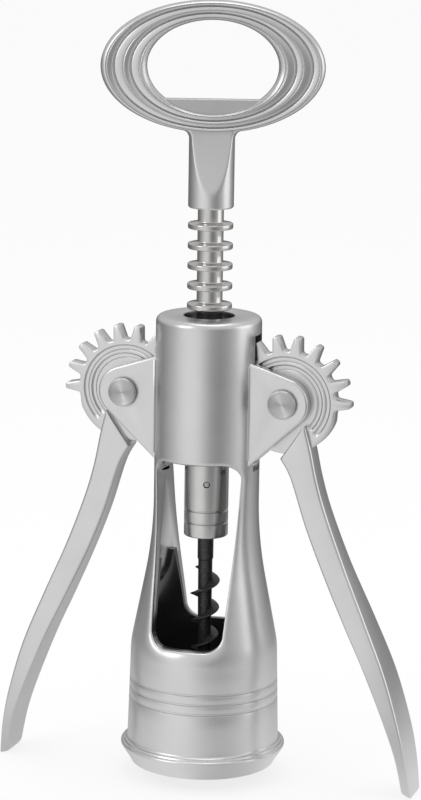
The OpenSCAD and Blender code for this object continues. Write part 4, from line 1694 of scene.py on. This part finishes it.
@dataclass
class Studio:
    """The camera, the pale floor and the soft light."""

    image_w: int = 421
    image_h: int = 800
    focal_px: float = 3059.47
    sensor_mm: float = 36.0
    eye: Point = (217.30, -673.98, 234.82)
    right: Point = (0.95091, 0.30908, 0.01566)
    up: Point = (-0.07720, 0.18790, 0.97915)
    sky: float = 0.85
    haze: float = 0.6
    floor_glow: float = 0.8
    floor_grey: float = 0.8
    floor_m: float = 6.0
    # Where the light over the horizon starts, reaches the haze and is full, as heights of a direction
    rise_stops: tuple = (0.02, 0.2, 0.9)
    # Rows of azimuth in degrees, from +X towards +Y, and brightness
    band_levels: tuple = ((-180, 0.34), (-150, 0.62), (-122, 1.05), (-102, 1.12), (-86, 0.86),
                          (-68, 0.42), (-50, 0.27), (-32, 0.4), (-14, 0.64), (4, 0.9), (26, 0.76),
                          (54, 0.36), (84, 0.13), (120, 0.12), (150, 0.2), (180, 0.34))
    near_m: float = 0.06
    far_m: float = 0.3
    near_share: float = 0.55
    # What the lamps look at
    middle: Point = (0, 0, 90)
    # Name, place, width and height in millimetres, and watts
    lamps: tuple = (("key_softbox", (-420, -520, 420), (320, 420), 0.8),
                    ("fill_softbox", (600, 150, 220), (460, 420), 0.45),
                    ("top_softbox", (0, 60, 700), (400, 400), 1.0))

    def camera(self) -> None:
        """Makes the camera at the photograph's place and angle."""
        data = bpy.data.cameras.new("studio_camera")
        data.sensor_width = self.sensor_mm
        data.sensor_fit = "AUTO"
        data.lens = self.focal_px / max(self.image_w, self.image_h) * self.sensor_mm
        data.clip_start, data.clip_end = 0.05, 20.0
        camera = bpy.data.objects.new("studio_camera", data)
        bpy.context.scene.collection.objects.link(camera)
        x = Vector(self.right).normalized()
        y = Vector(self.up)
        y = (y - x * y.dot(x)).normalized()
        z = x.cross(y)
        turn = Matrix((x, y, z)).transposed().to_4x4()
        camera.matrix_world = Matrix.Translation(Vector(self.eye) * MM) @ turn
        bpy.context.scene.camera = camera

    def lamp(self, name: str, place: Point, size: tuple[float, float], watts: float) -> None:
        """Adds one soft area lamp that looks at the middle of the corkscrew.

        Args:
            name: the lamp's name.
            place: where it stands, in millimetres.
            size: its width and height, in millimetres.
            watts: its power.
        """
        data = bpy.data.lights.new(name, "AREA")
        data.shape = "RECTANGLE"
        data.size, data.size_y = size[0] * MM, size[1] * MM
        data.energy = watts
        lamp = bpy.data.objects.new(name, data)
        bpy.context.scene.collection.objects.link(lamp)
        lamp.location = Vector(place) * MM
        target = Vector(self.middle) * MM
        lamp.rotation_mode = "QUATERNION"
        lamp.rotation_quaternion = (target - lamp.location).to_track_quat("-Z", "Y")

    def bands(self, tree: Tree, way: Socket) -> Socket:
        """Adds the soft upright bands of light and shade that stand round the studio.

        Args:
            tree: the node tree.
            way: a direction from the corkscrew, or a place seen from it.

        Returns:
            The brightness in that direction.
        """
        axes = add(tree, "SeparateXYZ", {"Vector": way})
        angle = add(tree, "Math", {0: axes.outputs["Y"], 1: axes.outputs["X"]},
                    operation="ARCTAN2")
        share = add(tree, "MapRange", {"Value": angle.outputs["Value"]},
                    {"From Min": -math.pi, "From Max": math.pi})
        node = add(tree, "ValToRGB", {"Fac": share.outputs["Result"]})
        ramp = node.color_ramp
        ramp.interpolation = "B_SPLINE"
        while len(ramp.elements) < len(self.band_levels):
            ramp.elements.new(0.5)
        for element, (azimuth, light) in zip(ramp.elements, self.band_levels):
            element.position = (azimuth + 180) / 360
            element.color = (light, light, light, 1.0)
        return node.outputs["Color"]

    def world(self) -> None:
        """Makes the surroundings: soft bands to the metal, and plain white to the camera and the rest."""
        world = bpy.data.worlds.new("studio_world")
        bpy.context.scene.world = world
        tree = empty_tree(world)
        way = add(tree, "TexCoord").outputs["Generated"]
        axes = add(tree, "SeparateXYZ", {"Vector": way})
        rise = add(tree, "ValToRGB", {"Fac": axes.outputs["Z"]})
        start, haze, full = self.rise_stops
        rise.color_ramp.elements[0].position = start
        middle = rise.color_ramp.elements.new(haze)
        middle.color = (self.haze, self.haze, self.haze, 1.0)
        rise.color_ramp.elements[-1].position = full
        sky = blend(tree, rise.outputs["Color"], self.bands(tree, way), (self.sky, self.sky, self.sky, 1.0))
        studio = add(tree, "Background", {"Color": sky}, {"Strength": 1.0})
        white = add(tree, "Background", values={"Color": (1, 1, 1, 1), "Strength": 1.0})
        ray = add(tree, "LightPath")
        both = add(tree, "MixShader", {
            0: ray.outputs["Is Glossy Ray"],
            1: white.outputs["Background"],
            2: studio.outputs["Background"]})
        add(tree, "OutputWorld", {"Surface": both.outputs["Shader"]})

    def floor(self, height: float) -> None:
        """Lays the pale floor: near white to the camera, with the shadow kept, and banded to the metal.

        Args:
            height: the floor's height, in metres.
        """
        deselect()
        bpy.ops.mesh.primitive_plane_add(size=self.floor_m, location=(0, 0, height))
        floor = bpy.context.object
        floor.name = "studio_floor"
        material = bpy.data.materials.new("pale_floor")
        tree = empty_tree(material)
        place = add(tree, "TexCoord").outputs["Object"]
        grey = (self.floor_grey, self.floor_grey, self.floor_grey, 1.0)
        matt = add(tree, "BsdfDiffuse", values={"Color": grey})
        glow = add(tree, "Emission", values={"Color": (1, 1, 1, 1), "Strength": 1.0})
        ray = add(tree, "LightPath")
        part = add(tree, "Math", {0: ray.outputs["Is Camera Ray"]}, {1: self.floor_glow},
                   operation="MULTIPLY")
        seen = add(tree, "MixShader", {
            0: part.outputs["Value"], 1: matt.outputs["BSDF"], 2: glow.outputs["Emission"]})
        reach = add(tree, "VectorMath", {0: place}, operation="LENGTH")
        near = add(tree, "MapRange", {"Value": reach.outputs["Value"]},
                   {"From Min": self.near_m, "From Max": self.far_m,
                    "To Min": self.near_share, "To Max": 0.0},
                   interpolation_type="SMOOTHSTEP")
        level = blend(tree, near.outputs["Result"], self.bands(tree, place), (1.0, 1.0, 1.0, 1.0))
        mirrored = add(tree, "Emission", {"Color": level}, {"Strength": 1.0})
        both = add(tree, "MixShader", {
            0: ray.outputs["Is Glossy Ray"], 1: seen.outputs["Shader"], 2: mirrored.outputs["Emission"]})
        add(tree, "OutputMaterial", {"Surface": both.outputs["Shader"]})
        floor.data.materials.append(material)

    def build(self, floor_z: float) -> None:
        """Makes the whole studio over a floor at that height in metres.

        Args:
            floor_z: the floor's height, in metres.
        """
        self.camera()
        self.world()
        self.floor(floor_z)
        for row in self.lamps:
            self.lamp(*row)


def main() -> None:
    """Builds every sub-assembly, dresses the kept CAD nodes and sets the studio."""
    logging.basicConfig(level=logging.INFO, format="%(message)s")
    bpy.context.scene.view_settings.view_transform = "Standard"
    paint = Paint()
    Housing().build(paint)
    for side in Side:
        PivotPin(side).build(paint)
        Lever(side).build(paint)
    RackShaft().build(paint)
    Handle().build(paint)
    Screw().build(paint)
    paint.dress(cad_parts["bell_liner"], Finish.BLACK_PLASTIC)
    paint.dress(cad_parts["spindle"], Finish.TURNED_STEEL)
    Studio().build(CAD_BOX[0].z - FLOOR_GAP)


if __name__ == "__main__":
    main()
